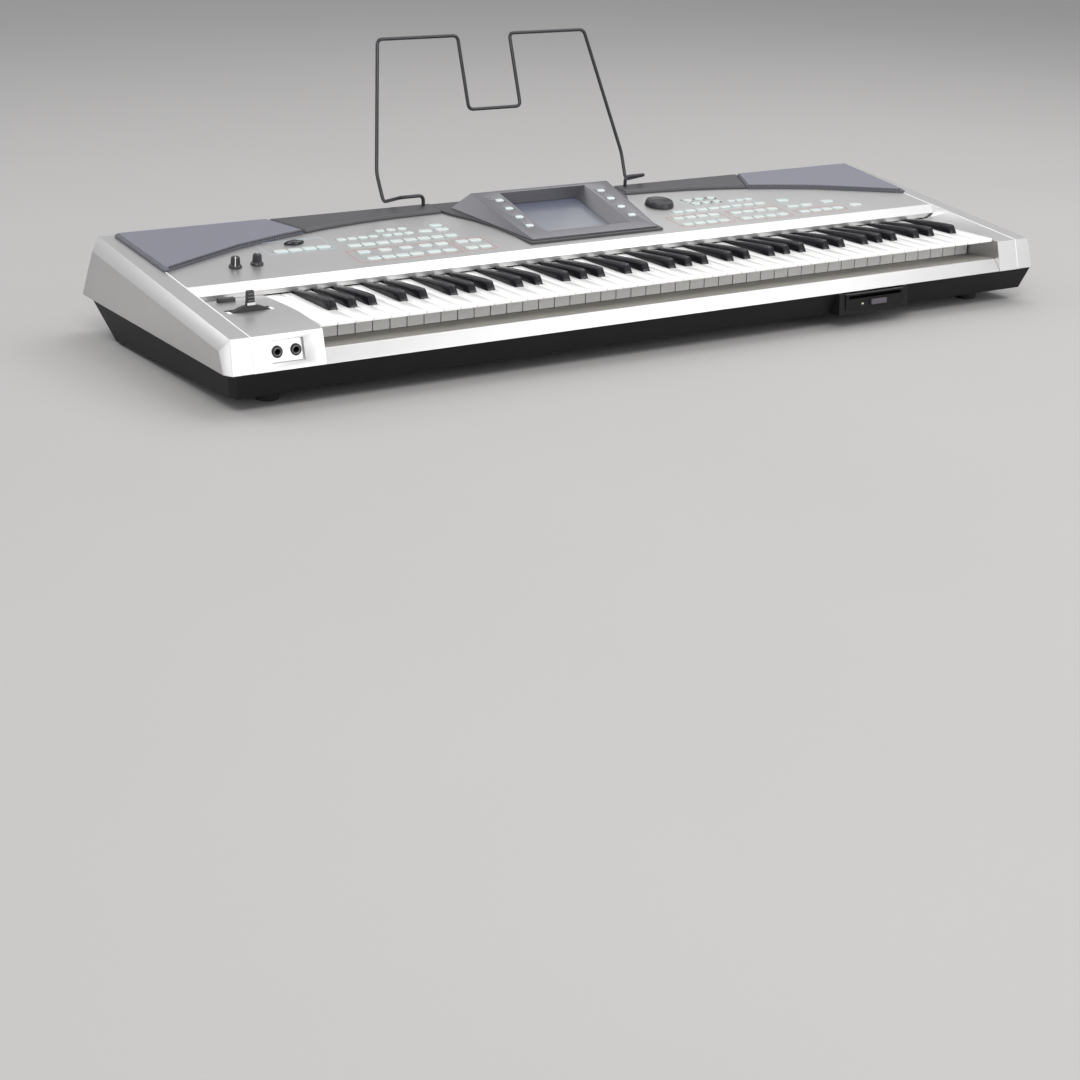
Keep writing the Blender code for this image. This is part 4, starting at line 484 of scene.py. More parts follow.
whites = list(range(keys["count"]))
middleSeven = whites[keys["middle"]:keys["middle"] + 7]
for side, indices in (("low", whites[:keys["middle"]]), ("high", whites[keys["middle"] + 7:])):
    keyPiece(f"{side} white keys", f"{side}_white_keys", indices, whiteKey, "key white")
    sharps = [i for i in indices if hasBlack(i)]
    keyPiece(f"{side} black keys", f"{side}_black_keys", sharps, blackKey, "key black")
for index in middleSeven:
    letter = note(index).lower()
    keyPiece(f"white key {letter}", f"key_{letter}", [index], whiteKey, "key white")
    if hasBlack(index):
        keyPiece(f"black key {letter} sharp", f"key_{letter}_sharp", [index], blackKey,
                 "key black")
print("keys made")

# Case covers

covers = {  # node: (finish, edge rounding, shortest edge rounded, along X only)
    "bottom_case": ("case black", 0.0008, 0.05, False),
    "end_cap_left": ("satin silver", 0.0009, 0.01, False),
    "end_cap_right": ("satin silver", 0.0009, 0.01, False),
    "top_panel": ("satin silver", 0.0006, 0.02, True),
    "rear_wall": ("satin silver", 0.0006, 0.02, True),
    "key_slip": ("satin silver", 0.0008, 0.05, True),
    "key_frame": ("tray beige", 0.0004, 0.05, True),
    "control_block": ("satin silver", 0.0009, 0.02, False),
    "right_cheek": ("satin silver", 0.0005, 0.02, False),
}
for node, (finish, width, shortest, alongX) in covers.items():
    cover = makePiece(node, cadShell(node, width, shortest, 12, alongX))
    cover.data.shade_smooth()
    cover.data.set_sharp_from_angle(angle=math.radians(14))
    weighted = cover.modifiers.new("weighted", "WEIGHTED_NORMAL")
    weighted.keep_sharp = True
    dress(asMesh(cover), "case", [node], finish, 14)

# The cheek's surface runs on in front of the riser, up to the panel's front edge
caseFront = {"foot": (-0.0202, -0.0434), "top": (-0.0090, -0.0033)}  # (depth, rise) of its edges
riser = {"foot": 0.1476, "footRise": 0.0076, "top": 0.1681, "topRise": 0.01545}
cheek = {"ledge": 0.0100, "ledgeRise": 0.0006, "rim": 0.0016, "shy": 0.0003}
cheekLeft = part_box("right_cheek")[0].x + cheek["ledge"]
cheekRight = rightSeam - cheek["rim"]
cheekEnd = rightSeam - cheek["shy"]
riseAtFoot = caseFront["top"][1] + (riser["foot"] - caseFront["top"][0]) * math.tan(panel["slope"])
share = (riser["footRise"] - cheek["ledgeRise"]) / (riseAtFoot - cheek["ledgeRise"])
shape = bmesh.new()
corners = [shape.verts.new(at(x, depth, rise)) for x, depth, rise in (
    (cheekLeft + (cheekRight - cheekLeft) * share, riser["foot"], riser["footRise"]),
    (cheekRight, riser["foot"], riseAtFoot), (cheekEnd, riser["foot"], riseAtFoot),
    (cheekEnd, riser["top"], riser["topRise"]), (cheekEnd, riser["foot"], riser["footRise"]),
)]
for picked in ((0, 1, 3), (1, 2, 3), (0, 3, 4), (0, 4, 2, 1), (2, 4, 3)):
    shape.faces.new([corners[i] for i in picked])
faceOut(shape)
addPiece("cheek corner", shape, "case", [], "satin silver", 14)

# A thin raised strip along the joints of the end caps, painted bright: a painted highlight on the
# joints' edges
highlight = {"width": 0.0017, "crown": 0.6, "proud": 0.0005, "sunk": 0.0006}
capLine = [  # (depth, rise, outward direction) down the front and back along the top
    (*caseFront["foot"], (-0.96, 0.26)), (*caseFront["top"], (-0.60, 0.75)),
    (panel["rear"], panelRise(panel["rear"]), (-0.107, 0.994)),
]
for side, seam in (("left", leftSeam), ("right", rightSeam)):
    shape = bmesh.new()
    half, top = highlight["width"] / 2, highlight["width"] / 2 * highlight["crown"]
    ring = [(-half, -highlight["sunk"]), (half, -highlight["sunk"]), (top, highlight["proud"]), (-top, highlight["proud"])]
    loops = [[at(seam + x, depth + out[0] * lift, rise + out[1] * lift) for x, lift in ring]
             for depth, rise, out in capLine]
    loft(shape, loops)
    faceOut(shape)
    addPiece(f"seam bead {side}", shape, "case", [], "bead silver", 14)
print("case covers made")

# Carried over with a finish of their own

plain = {
    "speaker_driver_left": ("satin black", "case"),
    "speaker_driver_right": ("satin black", "case"),
    "main_board": ("board green", "case"),
    "bender_carriage": ("satin black", "bender_carriage"),
    "floppy_drive": ("bezel black", "case"),
    "headphone_jacks": ("satin black", "case"),
    "rear_jack_plate": ("satin black", "case"),
    "power_inlet": ("satin black", "case"),
    "power_switch": ("gloss black", "power_switch"),
    **{f"foot_{end}_{side}": ("foot rubber", "case")
       for end in ("front", "rear") for side in ("left", "right")},
    "display_base": ("trim grey", "case"),
    "display_glass": ("display window", "case"),
    "display_hood": ("hood grey", "case"),
    "bender_lever": ("satin black", "bender_lever"),
    "assign_button": ("satin black", "assign_button"),
    "eject_button": ("eject grey", "eject_button"),
}
for node, (finish, body) in plain.items():
    shape = cadShell(node, 0.0004, 0.002, 30, False)
    addPiece(node, shape, body, [node], finish, 20)

# Bender and headphone sockets

bender = {
    "x": -0.552, "depth": 0.080, "ridges": (0.0028, 0.0068, 0.0108), "ridge": (0.0078, 0.0009, 0.0011),
    "halfThick": 0.0035, "skin": 0.0004, "band": (0.0050, 0.0138, 0.0168),
    "slotEnds": (0.0248, 0.0290), "slotHalf": 0.0046, "slotRise": (0.0018, 0.0033),
}
benderFront = lipY + bender["depth"] - bender["halfThick"]
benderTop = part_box("bender_lever")[1].z
shape = bmesh.new()
for drop in bender["ridges"]:
    width, proud, tall = bender["ridge"]
    boxInto(shape, Vector((bender["x"] - width / 2, benderFront - proud, benderTop - drop - tall)),
            Vector((bender["x"] + width / 2, benderFront + bender["skin"], benderTop - drop)))
addPiece("bender ridges", shape, "bender_lever", [], "ring grey")
half, top, low = bender["band"]
shape = bmesh.new()
boxInto(shape, Vector((bender["x"] - half, benderFront - bender["skin"], benderTop - low)),
        Vector((bender["x"] + half, benderFront + bender["skin"], benderTop - top)))
addPiece("bender foot band", shape, "bender_lever", [], "line white")
shape = bmesh.new()
for sign in (-1, 1):
    left, right = sorted(bender["x"] + sign * reach for reach in bender["slotEnds"])
    boxInto(shape, at(left, bender["depth"] - bender["slotHalf"], bender["slotRise"][0]),
            at(right, bender["depth"] + bender["slotHalf"], bender["slotRise"][1]))
addPiece("bender slot ends", shape, "case", [], "bead silver")

sockets = {
    "places": (-0.562, -0.5385), "drop": 0.0235, "front": -0.0119, "steps": 40,
    "profile": ((0.0034, -0.0004), (0.0040, 0.0007), (0.0046, 0.0010), (0.0052, 0.0007),
                (0.0055, -0.0004)),
}
shape = bmesh.new()
for x in sockets["places"]:
    facing = Matrix.Rotation(math.radians(90), 4, "X")
    loft(shape, [circle(radius, height, sockets["steps"]) for radius, height in sockets["profile"]],
         Matrix.Translation(at(x, sockets["front"], -sockets["drop"])) @ facing, False, False)
faceOut(shape)
addPiece("socket rings", shape, "case", [], "ring grey", 50)

# Buttons

buttonRows = {  # node: rows of (first x, depth, count, pitch, width, length)
    "beam_buttons": [(-0.426, 0.257, 4, 0.020, 0.0184, 0.0110)],
    "style_buttons": [
        (-0.264, 0.295, 3, 0.0165, 0.0130, 0.0085),
        (-0.180, 0.294, 1, 0, 0.0175, 0.0100),
        (-0.330, 0.277, 4, 0.0155, 0.0134, 0.0085),
        (-0.263, 0.276, 3, 0.016, 0.0134, 0.0085),
        (-0.2055, 0.277, 2, 0.0255, 0.0190, 0.0105),
        (-0.325, 0.250, 8, 0.02045, 0.0180, 0.0105),
    ],
    "rhythm_buttons": [
        (-0.326, 0.223, 3, 0.0305, 0.0175, 0.0105),
        (-0.236, 0.223, 2, 0.024, 0.0175, 0.0105),
        (-0.325, 0.1965, 4, 0.0205, 0.0184, 0.0105),
        (-0.238, 0.1965, 2, 0.023, 0.0190, 0.0105),
        (-0.181, 0.223, 2, 0.020, 0.0176, 0.0105),
        (-0.181, 0.1965, 2, 0.020, 0.0176, 0.0105),
    ],
    "mode_buttons": [
        (0.2355, 0.291, 3, 0.0210, 0.0165, 0.0110),
        (0.2385, 0.274, 3, 0.0185, 0.0150, 0.0095),
        (0.299, 0.270, 3, 0.0155, 0.0134, 0.0080),
        (0.188, 0.2475, 8, 0.02086, 0.0180, 0.0080),
    ],
    "tone_buttons": [
        (0.170, 0.222, 4, 0.0205, 0.0176, 0.0100),
        (0.167, 0.195, 4, 0.0205, 0.0176, 0.0100),
        (0.270, 0.220, 4, 0.0215, 0.0180, 0.0100),
        (0.269, 0.1935, 4, 0.0215, 0.0180, 0.0100),
        (0.374, 0.221, 2, 0.025, 0.0200, 0.0090),
        (0.442, 0.226, 1, 0, 0.0200, 0.0105),
        (0.375, 0.195, 4, 0.0207, 0.0180, 0.0100),
        (0.475, 0.200, 1, 0, 0.0200, 0.0100),
        (0.378, 0.250, 1, 0, 0.0190, 0.0105),
    ],
}
cap = {"foot": -0.0030, "rise": 0.0014, "corner": 0.0030}


def buttonCap(shape, x, y, width, length, place):
    levels = [(0, cap["foot"]), (0, cap["rise"] * 0.45), (0.0003, cap["rise"] * 0.8),
              (0.0009, cap["rise"]), (0.0022, cap["rise"] * 1.08)]
    loft(shape, crown(rectangle(x, y, width, length), levels, cap["corner"], 4), place)


def leafCap(shape, x, y, width, length, turn, place):
    # A cap drawn out to a point at one end
    outline = [Vector((-width * 0.5, length * 0.10, 0)), Vector((-width * 0.28, -length * 0.42, 0)),
               Vector((width * 0.30, -length * 0.46, 0)), Vector((width * 0.5, 0, 0)),
               Vector((width * 0.30, length * 0.46, 0)), Vector((-width * 0.28, length * 0.42, 0))]
    levels = [(0, cap["foot"]), (0, cap["rise"] * 0.5), (0.0005, cap["rise"]),
              (0.0020, cap["rise"] * 1.08)]
    spot = place @ Matrix.Translation((x, y, 0)) @ Matrix.Rotation(math.radians(turn), 4, "Z")
    loft(shape, crown(outline, levels, cap["corner"], 3), spot)


leaves = {  # turn of each cap in the two rows beside the dial, in degrees
    0.291: (-8, 12, 25), 0.274: (165, 190, 205),
}
for node, rows in buttonRows.items():
    shape = bmesh.new()
    for x, depth, count, pitch, width, length in rows:
        for index in range(count):
            if depth in leaves:
                leafCap(shape, x + index * pitch, upSlope(depth), width, length, leaves[depth][index],
                        panelPlace)
            else:
                buttonCap(shape, x + index * pitch, upSlope(depth), width, length, panelPlace)
    addPiece(node, shape, node, [node], "button mint")

sideButtons = {"x": 0.0835, "places": (0.038, 0.065, 0.092, 0.118), "width": 0.012, "length": 0.0075}
for side, sign in (("left", -1), ("right", 1)):
    shape = bmesh.new()
    for place in sideButtons["places"]:
        buttonCap(shape, sign * sideButtons["x"], place, sideButtons["width"],
                  sideButtons["length"], hoodPlace)
    addPiece(f"display buttons {side}", shape, f"display_buttons_{side}", [f"display_buttons_{side}"],
             "button mint")
print("buttons made")

# Knobs, dial and lens


def turnedInto(shape, profile, place, steps):  # profile of (radius, height), bottom up
    loft(shape, [circle(radius, height, steps) for radius, height in profile], place)


knobs = {"volume_knob": (-0.506, 0.220, -115), "balance_knob": (-0.476, 0.2215, 60)}
knobProfile = [
    (0.003, -0.008), (0.003, 0.0003), (0.0080, 0.0003), (0.0083, 0.0010), (0.0080, 0.0019),
    (0.0068, 0.0030), (0.0061, 0.0040), (0.0055, 0.0120), (0.0050, 0.0131), (0.0040, 0.0135),
    (0.0015, 0.0135),
]
flute = {"count": 12, "depth": 0.0004, "steps": 72, "above": 0.0030, "outside": 0.0045}
pointer = {
    "half": 0.00055, "skin": 0.0005,
    "line": [(0.0069, 0.0032), (0.0064, 0.0041), (0.0058, 0.0120), (0.0053, 0.0133), (0.0040, 0.01375),
             (0.0012, 0.01375)],
}


def flutedLoop(radius, height):
    fluted = height > flute["above"] and radius > flute["outside"]
    points = []
    for step in range(flute["steps"]):
        turn = math.tau * step / flute["steps"]
        dip = flute["depth"] * (0.5 + 0.5 * math.cos(flute["count"] * turn)) if fluted else 0.0
        points.append(Vector(((radius - dip) * math.cos(turn), (radius - dip) * math.sin(turn), height)))
    return points


for node, (x, depth, facing) in knobs.items():
    place = panelPlace @ Matrix.Translation((x, upSlope(depth), 0))
    shape = bmesh.new()
    loft(shape, [flutedLoop(radius, height) for radius, height in knobProfile], place)
    addPiece(node, shape, node, [node], "satin black", 30)
    shape = bmesh.new()
    stripe = place @ Matrix.Rotation(math.radians(facing), 4, "Z")
    half, skin = pointer["half"], pointer["skin"]
    loft(shape, [[Vector((r, -half, h)), Vector((r, half, h)), Vector((r - skin, half, h - skin)),
                  Vector((r - skin, -half, h - skin))] for r, h in pointer["line"]], stripe)
    faceOut(shape)
    addPiece(f"{node.split('_')[0]} pointer", shape, node, [], "line white")

dial = {
    "x": 0.181, "depth": 0.284, "steps": 64,
    "profile": [
        (0.003, -0.008), (0.003, 0.0003), (0.0205, 0.0003), (0.0210, 0.0010), (0.0207, 0.0022),
        (0.0193, 0.0062), (0.0186, 0.0075), (0.0175, 0.0080), (0.0162, 0.0077), (0.0145, 0.0066),
        (0.0105, 0.0060), (0.0100, 0.0064), (0.0092, 0.0064), (0.0087, 0.0059), (0.0030, 0.0057),
    ],
}
place = panelPlace @ Matrix.Translation((dial["x"], upSlope(dial["depth"]), 0))
shape = bmesh.new()
turnedInto(shape, dial["profile"], place, dial["steps"])
addPiece("data dial", shape, "data_dial", ["data_dial"], "satin black")

lens = {"x": -0.396, "depth": 0.281, "length": 0.0285, "width": 0.0125, "steps": 10}
lensLevels = ((1.0, 0.0003), (1.0, 0.0016), (0.95, 0.0028), (0.84, 0.0038), (0.62, 0.0045),
              (0.3, 0.0048))
shares = [i / lens["steps"] for i in range(lens["steps"] + 1)]
edge = [(lens["length"] * (s - 0.5), -lens["width"] / 2 * math.sin(math.pi * s) ** 0.8) for s in shares]
almond = [Vector((a, b, 0)) for a, b in edge] + [Vector((a, -b, 0)) for a, b in edge[-2:0:-1]]
shape = bmesh.new()
loft(shape, [[Vector((p.x * scale, p.y * scale, height)) for p in almond]
             for scale, height in lensLevels],
     panelPlace @ Matrix.Translation((lens["x"], upSlope(lens["depth"]), 0)))
addPiece("hand sensor lens", shape, "case", ["beam_lens"], "gloss black")
print("knobs, dial and lens made")

# Rear band: trims and grilles

bandFront = [  # (half width from the centre, depth) of the band's front edge
    (0.152, 0.341), (0.221, 0.338), (0.272, 0.333), (0.324, 0.3245), (0.362, 0.3155),
    (0.405, 0.3045), (0.470, 0.284), (0.540, 0.2525), (0.596, 0.2265),
]
band = {"rear": 0.3745, "jointFront": 0.362, "jointRear": 0.388, "start": 0.1524, "end": 0.6005}
jointGap = {"left": 0.0024, "right": 0.0008}
bandLevels = {  # (inset, height) pairs
    "trim": [(0, 0.0003), (0, 0.0022), (0.0004, 0.0028), (0.0026, 0.0048), (0.0032, 0.0050)],
    "edge": [(0, 0.0003), (0, 0.0026), (0.0004, 0.0032), (0.0034, 0.0057), (0.0038, 0.0057)],
    "sheet": [(0.0034, 0.0050), (0.0034, 0.0058), (0.0038, 0.0060)],
}


def bandOutline(pairs, sign):
    points = [Vector((x, upSlope(depth), 0)) for x, depth in pairs]
    return points[::-1] if sign < 0 else points


for side, sign in (("left", -1), ("right", 1)):
    inner = [p for p in bandFront if p[0] <= band["jointFront"]]
    outer = [p for p in bandFront if p[0] >= band["jointFront"]]
    start = hood["x"] + sign * band["start"]
    pairs = [(start, band["rear"]), (start, inner[0][1])]
    pairs += [(sign * a, d) for a, d in inner[1:]] + [(sign * band["jointRear"], band["rear"])]
    shape = bmesh.new()
    loft(shape, crown(bandOutline(pairs, sign), bandLevels["trim"], 0.001, 1), panelPlace)
    addPiece(f"rear trim {side}", shape, "case", [f"rear_trim_{side}"], "trim grey", 14)
    gap = jointGap[side]
    pairs = [(sign * (band["jointRear"] + gap), band["rear"]),
             (sign * (band["jointFront"] + gap), outer[0][1])]
    pairs += [(sign * a, d) for a, d in outer[1:]] + [(sign * band["end"], band["rear"])]
    outline = bandOutline(pairs, sign)
    # The rim's visible front chamfer is the grille sheet in a darker colour: painted shade
    shape = bmesh.new()
    loft(shape, crown(outline, bandLevels["edge"], 0.0015, 1), panelPlace)
    addPiece(f"grille rim {side}", shape, "case", [], "grille edge", 14)
    shape = bmesh.new()
    loft(shape, crown(outline, bandLevels["sheet"], 0.0008, 1), panelPlace)
    addPiece(f"speaker grille {side}", shape, "case", [f"speaker_grille_{side}"], "grille purple", 14)
print("rear band made")

# Music rest

rest = {
    "wire": 0.0025, "socket": 0.168, "foot": 0.203, "top": 0.171, "notch": 0.043, "bend": 0.008,
    "back": 0.365, "footBack": 0.414, "heel": 0.056, "footRise": 0.041,
    "kneeBack": 0.430, "kneeRise": 0.078, "topBack": 0.490, "topRise": 0.2505, "notchRise": 0.152,
    "kneeOut": 0.002, "clear": 0.0006, "bendSteps": 6,
}
lean = (rest["topBack"] - rest["kneeBack"]) / (rest["topRise"] - rest["kneeRise"])
notchBack = rest["kneeBack"] + (rest["notchRise"] - rest["kneeRise"]) * lean
halfWire = [
    (-rest["socket"], rest["back"], panelRise(rest["back"]) + rest["clear"]),
    (-rest["socket"], rest["back"], rest["heel"]),
    (-rest["foot"], rest["back"], rest["heel"]),
    (-rest["foot"], rest["footBack"], rest["footRise"]),
    (-rest["foot"] - rest["kneeOut"], rest["kneeBack"], rest["kneeRise"]),
    (-rest["top"], rest["topBack"], rest["topRise"]),
    (-rest["notch"], rest["topBack"], rest["topRise"]),
    (-rest["notch"], notchBack, rest["notchRise"]),
]
corners = [at(hood["x"] + x, d, r) for x, d, r in halfWire]
corners += [at(hood["x"] - x, d, r) for x, d, r in halfWire[::-1]]
route = [corners[0]]
for before, corner, after in zip(corners, corners[1:], corners[2:]):
    start = corner + (before - corner).normalized() * rest["bend"]
    end = corner + (after - corner).normalized() * rest["bend"]
    for step in range(rest["bendSteps"] + 1):
        share = step / rest["bendSteps"]
        route.append(start.lerp(corner, share).lerp(corner.lerp(end, share), share))
route.append(corners[-1])
curve = bpy.data.curves.new("music-rest", "CURVE")
curve.dimensions = "3D"
curve.bevel_depth = rest["wire"]
curve.bevel_resolution = 5
curve.use_fill_caps = True
spline = curve.splines.new("POLY")
spline.points.add(len(route) - 1)
for target, point in zip(spline.points, route):
    target.co = (*point, 1)
dress(asMesh(addObject("music-rest", curve)), "music_rest", ["music_rest"], "wire black", 60)
print("music rest made")

# What repeats: one tree of Geometry Nodes puts a shape on every point given to it

scatterInputs = {
    "Geometry": "Geometry", "Shape": "Object", "Size": "Vector", "Turn": "Vector", "Spin": "Float",
    "Seed": "Int", "Material": "Material",
}


def scatterTree():
    tree = bpy.data.node_groups.new("scatter", "GeometryNodeTree")
    for name, kind in scatterInputs.items():
        tree.interface.new_socket(name, in_out="INPUT", socket_type=f"NodeSocket{kind}")
    tree.interface.new_socket("Geometry", in_out="OUTPUT", socket_type="NodeSocketGeometry")
    nodes, links = tree.nodes, tree.links
    given, result = nodes.new("NodeGroupInput"), nodes.new("NodeGroupOutput")
    fetch = nodes.new("GeometryNodeObjectInfo")
    links.new(given.outputs["Shape"], fetch.inputs["Object"])
    spin = nodes.new("FunctionNodeRandomValue")
    spin.data_type = "FLOAT"
    links.new(given.outputs["Spin"], spin.inputs[3])  # the largest turn of the random value
    links.new(given.outputs["Seed"], spin.inputs["Seed"])
    about = nodes.new("ShaderNodeCombineXYZ")
    links.new(spin.outputs[1], about.inputs["Z"])
    own = nodes.new("FunctionNodeEulerToRotation")
    links.new(about.outputs["Vector"], own.inputs["Euler"])
    lean = nodes.new("FunctionNodeEulerToRotation")
    links.new(given.outputs["Turn"], lean.inputs["Euler"])
    both = nodes.new("FunctionNodeRotateRotation")
    both.rotation_space = "LOCAL"
    links.new(lean.outputs["Rotation"], both.inputs["Rotation"])
    links.new(own.outputs["Rotation"], both.inputs["Rotate By"])
    spread = nodes.new("GeometryNodeInstanceOnPoints")
    links.new(given.outputs["Geometry"], spread.inputs["Points"])
    links.new(fetch.outputs["Geometry"], spread.inputs["Instance"])
    links.new(both.outputs["Rotation"], spread.inputs["Rotation"])
    links.new(given.outputs["Size"], spread.inputs["Scale"])
    realize = nodes.new("GeometryNodeRealizeInstances")
    links.new(spread.outputs["Instances"], realize.inputs["Geometry"])
    colour = nodes.new("GeometryNodeSetMaterial")
    links.new(realize.outputs["Geometry"], colour.inputs["Geometry"])
    links.new(given.outputs["Material"], colour.inputs["Material"])
    links.new(colour.outputs["Geometry"], result.inputs["Geometry"])
    return tree


scatter = scatterTree()


def scattered(name, points, settings):  # settings by the tree's input names
    mesh = bpy.data.meshes.new(name.replace(" ", "-"))
    mesh.from_pydata([tuple(point) for point in points], [], [])
    base = addObject(name.replace(" ", "-"), mesh)
    modifier = base.modifiers.new("scatter", "NODES")
    modifier.node_group = scatter
    for item in scatter.interface.items_tree:
        if item.item_type == "SOCKET" and item.in_out == "INPUT" and item.name in settings:
            modifier[item.identifier] = settings[item.name]
    return asMesh(base)


def turnedShape(name, profile, steps):
    shape = bmesh.new()
    turnedInto(shape, profile, Matrix.Identity(4), steps)
    faceOut(shape)
    return makePiece(name, shape)


# A round head with a round recess, and a peg, both 1 m across until their size is set
screwHead = turnedShape("screw head", [
    (0.5, -0.2), (0.5, 0.06), (0.42, 0.16), (0.30, 0.20), (0.22, 0.20), (0.20, 0.17), (0.19, -0.08),
    (0.02, -0.10),
], 24)
notchPeg = turnedShape("notch peg", [(0.5, -0.5), (0.5, 0.5)], 10)

rearWall = {"top": (panel["rear"], panelRise(panel["rear"])), "foot": (0.410, -0.0435), "plateX": 0.250}
rearRun = rearWall["foot"][0] - rearWall["top"][0]
rearFall = rearWall["top"][1] - rearWall["foot"][1]
rearLean = math.atan2(rearRun, rearFall) - math.pi / 2
rearMiddle = at(rearWall["plateX"], (rearWall["top"][0] + rearWall["foot"][0]) / 2,
                (rearWall["top"][1] + rearWall["foot"][1]) / 2)
rearPlace = Matrix.Translation(rearMiddle) @ Matrix.Rotation(rearLean, 4, "X")  # Z points out
plateScrews = {"x": 0.1445, "y": 0.0135, "sunk": 0.0010, "size": (0.0050, 0.0050, 0.0050)}
spots = [rearPlace @ Vector((sx * plateScrews["x"], sy * plateScrews["y"], -plateScrews["sunk"]))
         for sx in (-1, 1) for sy in (-1, 1)]
dress(scattered("plate screws", spots, {
    "Shape": screwHead, "Size": plateScrews["size"], "Turn": (rearLean, 0.0, 0.0), "Spin": math.tau,
    "Seed": 4, "Material": finishes["screw steel"],
}), "case", [], "screw steel", 30)

# Screws wherever a place in this pattern meets a level part of the underside
footScrews = {
    "x": (-0.50, -0.36, -0.20, -0.04, 0.12, 0.26, 0.40, 0.50), "depths": (0.05, 0.20, 0.33),
    "sunk": 0.0002, "below": 0.05, "level": -0.95, "size": (0.0068, 0.0068, 0.0060),
}
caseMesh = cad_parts["bottom_case"].data
caseTree = BVHTree.FromPolygons([v.co for v in caseMesh.vertices],
                                [tuple(p.vertices) for p in caseMesh.polygons])
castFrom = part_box("bottom_case")[0].z - footScrews["below"]
spots = []
for x in footScrews["x"]:
    for depth in footScrews["depths"]:
        place, normal = caseTree.ray_cast(Vector((x, lipY + depth, castFrom)), Vector((0, 0, 1)))[:2]
        if place and normal.z < footScrews["level"]:
            spots.append(place + Vector((0, 0, footScrews["sunk"])))
print("underside screws:", len(spots))
dress(scattered("underside screws", spots, {
    "Shape": screwHead, "Size": footScrews["size"], "Turn": (math.pi, 0.0, 0.0), "Spin": math.tau,
    "Seed": 9, "Material": finishes["screw steel"],
}), "case", [], "screw steel", 30)

# Holes where the perforated sheet wraps over the grilles' front edges
notch = {"pitch": 0.0043, "inset": 0.0009, "rise": 0.0041, "size": (0.0021, 0.0021, 0.0022)}
for side, sign in (("left", -1), ("right", 1)):
    path = [Vector((sign * a, upSlope(d), 0)) for a, d in bandFront if a >= band["jointFront"]]
    spots, left = [], notch["pitch"]
    for start, end in zip(path, path[1:]):
        leg, length, along = (end - start).normalized(), (end - start).length, left
        inward = Vector((-leg.y, leg.x, 0)) * (1 if sign > 0 else -1)
        while along < length:
            spot = start + leg * along + inward * notch["inset"]
            spots.append(panelPlace @ Vector((spot.x, spot.y, notch["rise"])))
            along += notch["pitch"]
        left = along - length
    dress(scattered(f"grille edge holes {side}", spots[:-2], {
        "Shape": notchPeg, "Size": notch["size"], "Turn": (panel["slope"], 0.0, 0.0), "Spin": 0.0,
        "Seed": 1, "Material": finishes["mark dark"],
    }), "case", [], "mark dark", 40)
for template in (screwHead, notchPeg):
    bpy.data.objects.remove(template)
print("repeated details made")

# Rings round the rear sockets, and the pins of the mains inlet
rearSockets = {
    "pitch": 0.033, "wide": 0.0068, "narrow": 0.0045, "count": 8, "wideCount": 2, "steps": 32,
    "profile": ((0.0001, -0.0014), (0.0002, -0.0004), (0.0007, -0.0001), (0.0014, -0.0004),
                (0.0016, -0.0014)),
}
shape = bmesh.new()
for index in range(rearSockets["count"]):
    x = (index - (rearSockets["count"] - 1) / 2) * rearSockets["pitch"]
    radius = rearSockets["wide"] if index < rearSockets["wideCount"] else rearSockets["narrow"]
    loft(shape, [circle(radius + extra, height, rearSockets["steps"], x)
                 for extra, height in rearSockets["profile"]], rearPlace, False, False)
faceOut(shape)
addPiece("rear socket rings", shape, "case", [], "ring grey", 50)

inlet = {
    "x": -0.700, "pins": ((-0.0050, -0.0020), (0.0, 0.0022), (0.0050, -0.0020)),
    "pin": (0.0018, 0.0040), "floor": -0.0166, "reach": -0.004, "tip": (0.0005, 0.0008),
}
shape = bmesh.new()
for x, y in inlet["pins"]:
    base = rectangle(inlet["x"] + x, y, *inlet["pin"], inlet["floor"])
    narrowing, taper = inlet["tip"]
    loft(shape, [base, flat(base, inlet["reach"] - taper),
                 flat(shrink(base, narrowing), inlet["reach"])], rearPlace)
addPiece("inlet pins", shape, "case", [], "screw steel")

# Thin coloured outlines round groups of buttons
outlines = {  # name: (finish, width, [(left, right, near, far)])
    "red outlines": ("line red", 0.00045, [
        (-0.3485, -0.1990, 0.1855, 0.2330), (-0.1935, -0.1470, 0.1855, 0.2330),
        (0.1530, 0.2450, 0.1850, 0.2315), (0.2555, 0.3480, 0.1835, 0.2300),
        (0.3610, 0.4500, 0.1850, 0.2065),
    ]),
    "blue outline": ("line blue", 0.0005, [(-0.4450, -0.3520, 0.2490, 0.2960)]),
}
outlineForm = {"corner": 0.004, "steps": 5, "sunk": -0.0001, "proud": 0.00022}
for name, (finish, width, boxes) in outlines.items():
    shape = bmesh.new()
    for left, right, near, far in boxes:
        places = ((left, near), (right, near), (right, far), (left, far))
        sheet = [Vector((x, upSlope(depth), 0)) for x, depth in places]
        outer = softLoop(sheet, outlineForm["corner"], outlineForm["steps"])
        inner = softLoop(shrink(sheet, width), outlineForm["corner"] - width, outlineForm["steps"])
        low, high = outlineForm["sunk"], outlineForm["proud"]
        loft(shape, [flat(outer, low), flat(outer, high), flat(inner, high), flat(inner, low)],
             panelPlace, False, False)
    faceOut(shape)
    addPiece(name, shape, "case", [], finish)

# The drive's lamp
driveLow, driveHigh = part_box("floppy_drive")
driveLamp = {"left": 0.0215, "rise": 0.0072, "half": (0.0016, 0.0011), "proud": 0.0004, "sunk": 0.0006}
place = Vector(((driveLow.x + driveHigh.x) / 2 - driveLamp["left"], driveLow.y,
                driveLow.z + driveLamp["rise"]))
halfWidth, halfHeight = driveLamp["half"]
shape = bmesh.new()
boxInto(shape, place - Vector((halfWidth, driveLamp["proud"], halfHeight)),
        place + Vector((halfWidth, driveLamp["sunk"], halfHeight)))
addPiece("drive lamp", shape, "case", [], "lamp pale")
print("details made")

# Floor, light and camera

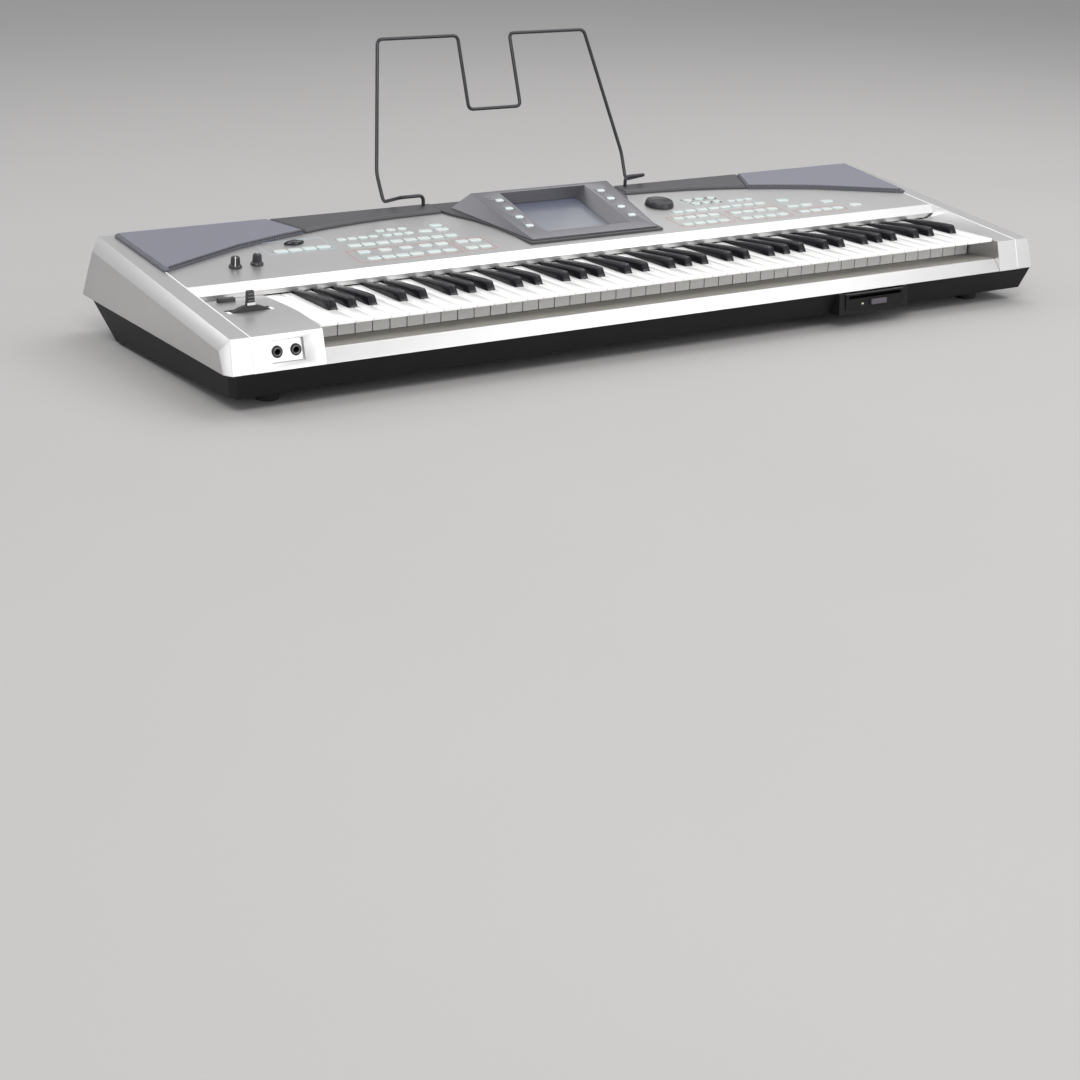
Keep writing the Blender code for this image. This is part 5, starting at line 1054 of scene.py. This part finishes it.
stage = {"shade": (0.385, 0.378, 0.373), "size": 12.0}
floorShape = bmesh.new()
bmesh.ops.create_grid(floorShape, x_segments=1, y_segments=1, size=stage["size"])
floor = makePiece("studio floor", floorShape)
floor.data.materials.append(surface("studio floor", {
    "colour": stage["shade"], "drift": 0.01, "driftScale": 1.5, "roughness": 0.8,
}))

world = bpy.data.worlds.new("studio")
bpy.context.scene.world = world
world.use_nodes = True
background = world.node_tree.nodes["Background"]
background.inputs["Color"].default_value = (0.95, 0.95, 0.965, 1)
worldNodes, worldLinks = world.node_tree.nodes, world.node_tree.links
aimed = worldNodes.new("ShaderNodeVectorMath")
aimed.operation = "DOT_PRODUCT"
aimed.inputs[1].default_value = Vector((0.69, 0.65, 0.32)).normalized()  # dimmer towards here
worldLinks.new(worldNodes.new("ShaderNodeTexCoord").outputs["Generated"], aimed.inputs[0])
fade = worldNodes.new("ShaderNodeMapRange")
setInputs(fade, {"From Min": 0.92, "From Max": 0.995, "To Min": 0.645, "To Max": 0.46})
worldLinks.new(aimed.outputs["Value"], fade.inputs["Value"])
worldLinks.new(fade.outputs["Result"], background.inputs["Strength"])

lampSpecs = {  # name: (place, aimed at, width, height, watts)
    "overhead softbox": ((1.3, 0.55, 2.7), (0.1, 0, 0.1), 2.4, 2.7, 46),
    "high left softbox": ((-1.4, -2.2, 2.6), (0, 0, 0.1), 1.6, 1.6, 55),
    "rear left softbox": ((-1.5, 1.4, 1.55), (0, 0.05, 0.15), 1.2, 1.2, 10),
    "front softbox": ((1.4, -2.9, 0.95), (0, -0.1, 0.1), 2.2, 1.2, 25),
    "left softbox": ((-3.1, -0.4, 0.55), (-0.6, -0.2, 0.08), 1.0, 1.0, 6.5),
    "slip softbox": ((1.55, -1.25, 2.1), (0.05, -0.3, 0.05), 1.7, 0.9, 10),
}
for name, (place, aim, width, height, watts) in lampSpecs.items():
    light = bpy.data.lights.new(name, "AREA")
    light.shape = "RECTANGLE"
    light.size = width
    light.size_y = height
    light.energy = watts
    lamp = addObject(name, light)
    lamp.location = place
    lamp.rotation_euler = (Vector(aim) - Vector(place)).to_track_quat("-Z", "Y").to_euler()

view = {"azimuth": -33.169, "elevation": 20.30, "roll": 1.537, "lens": 68.775,
        "place": (-1.548, -2.075, 0.596), "sensor": 36}
azimuth, elevation = math.radians(view["azimuth"]), math.radians(view["elevation"])
forward = Vector((-math.sin(azimuth) * math.cos(elevation), math.cos(azimuth) * math.cos(elevation),
                  -math.sin(elevation)))
camera = addObject("photograph view", bpy.data.cameras.new("photograph view"))
camera.data.lens = view["lens"]
camera.data.sensor_width = view["sensor"]
turn = forward.to_track_quat("-Z", "Y").to_matrix().to_4x4()
camera.matrix_world = Matrix.Translation(at(*view["place"])) @ turn @ Matrix.Rotation(
    math.radians(view["roll"]), 4, "Z")
bpy.context.scene.camera = camera
bpy.context.scene.view_settings.view_transform = "Standard"
print("stage, lamps and camera set")
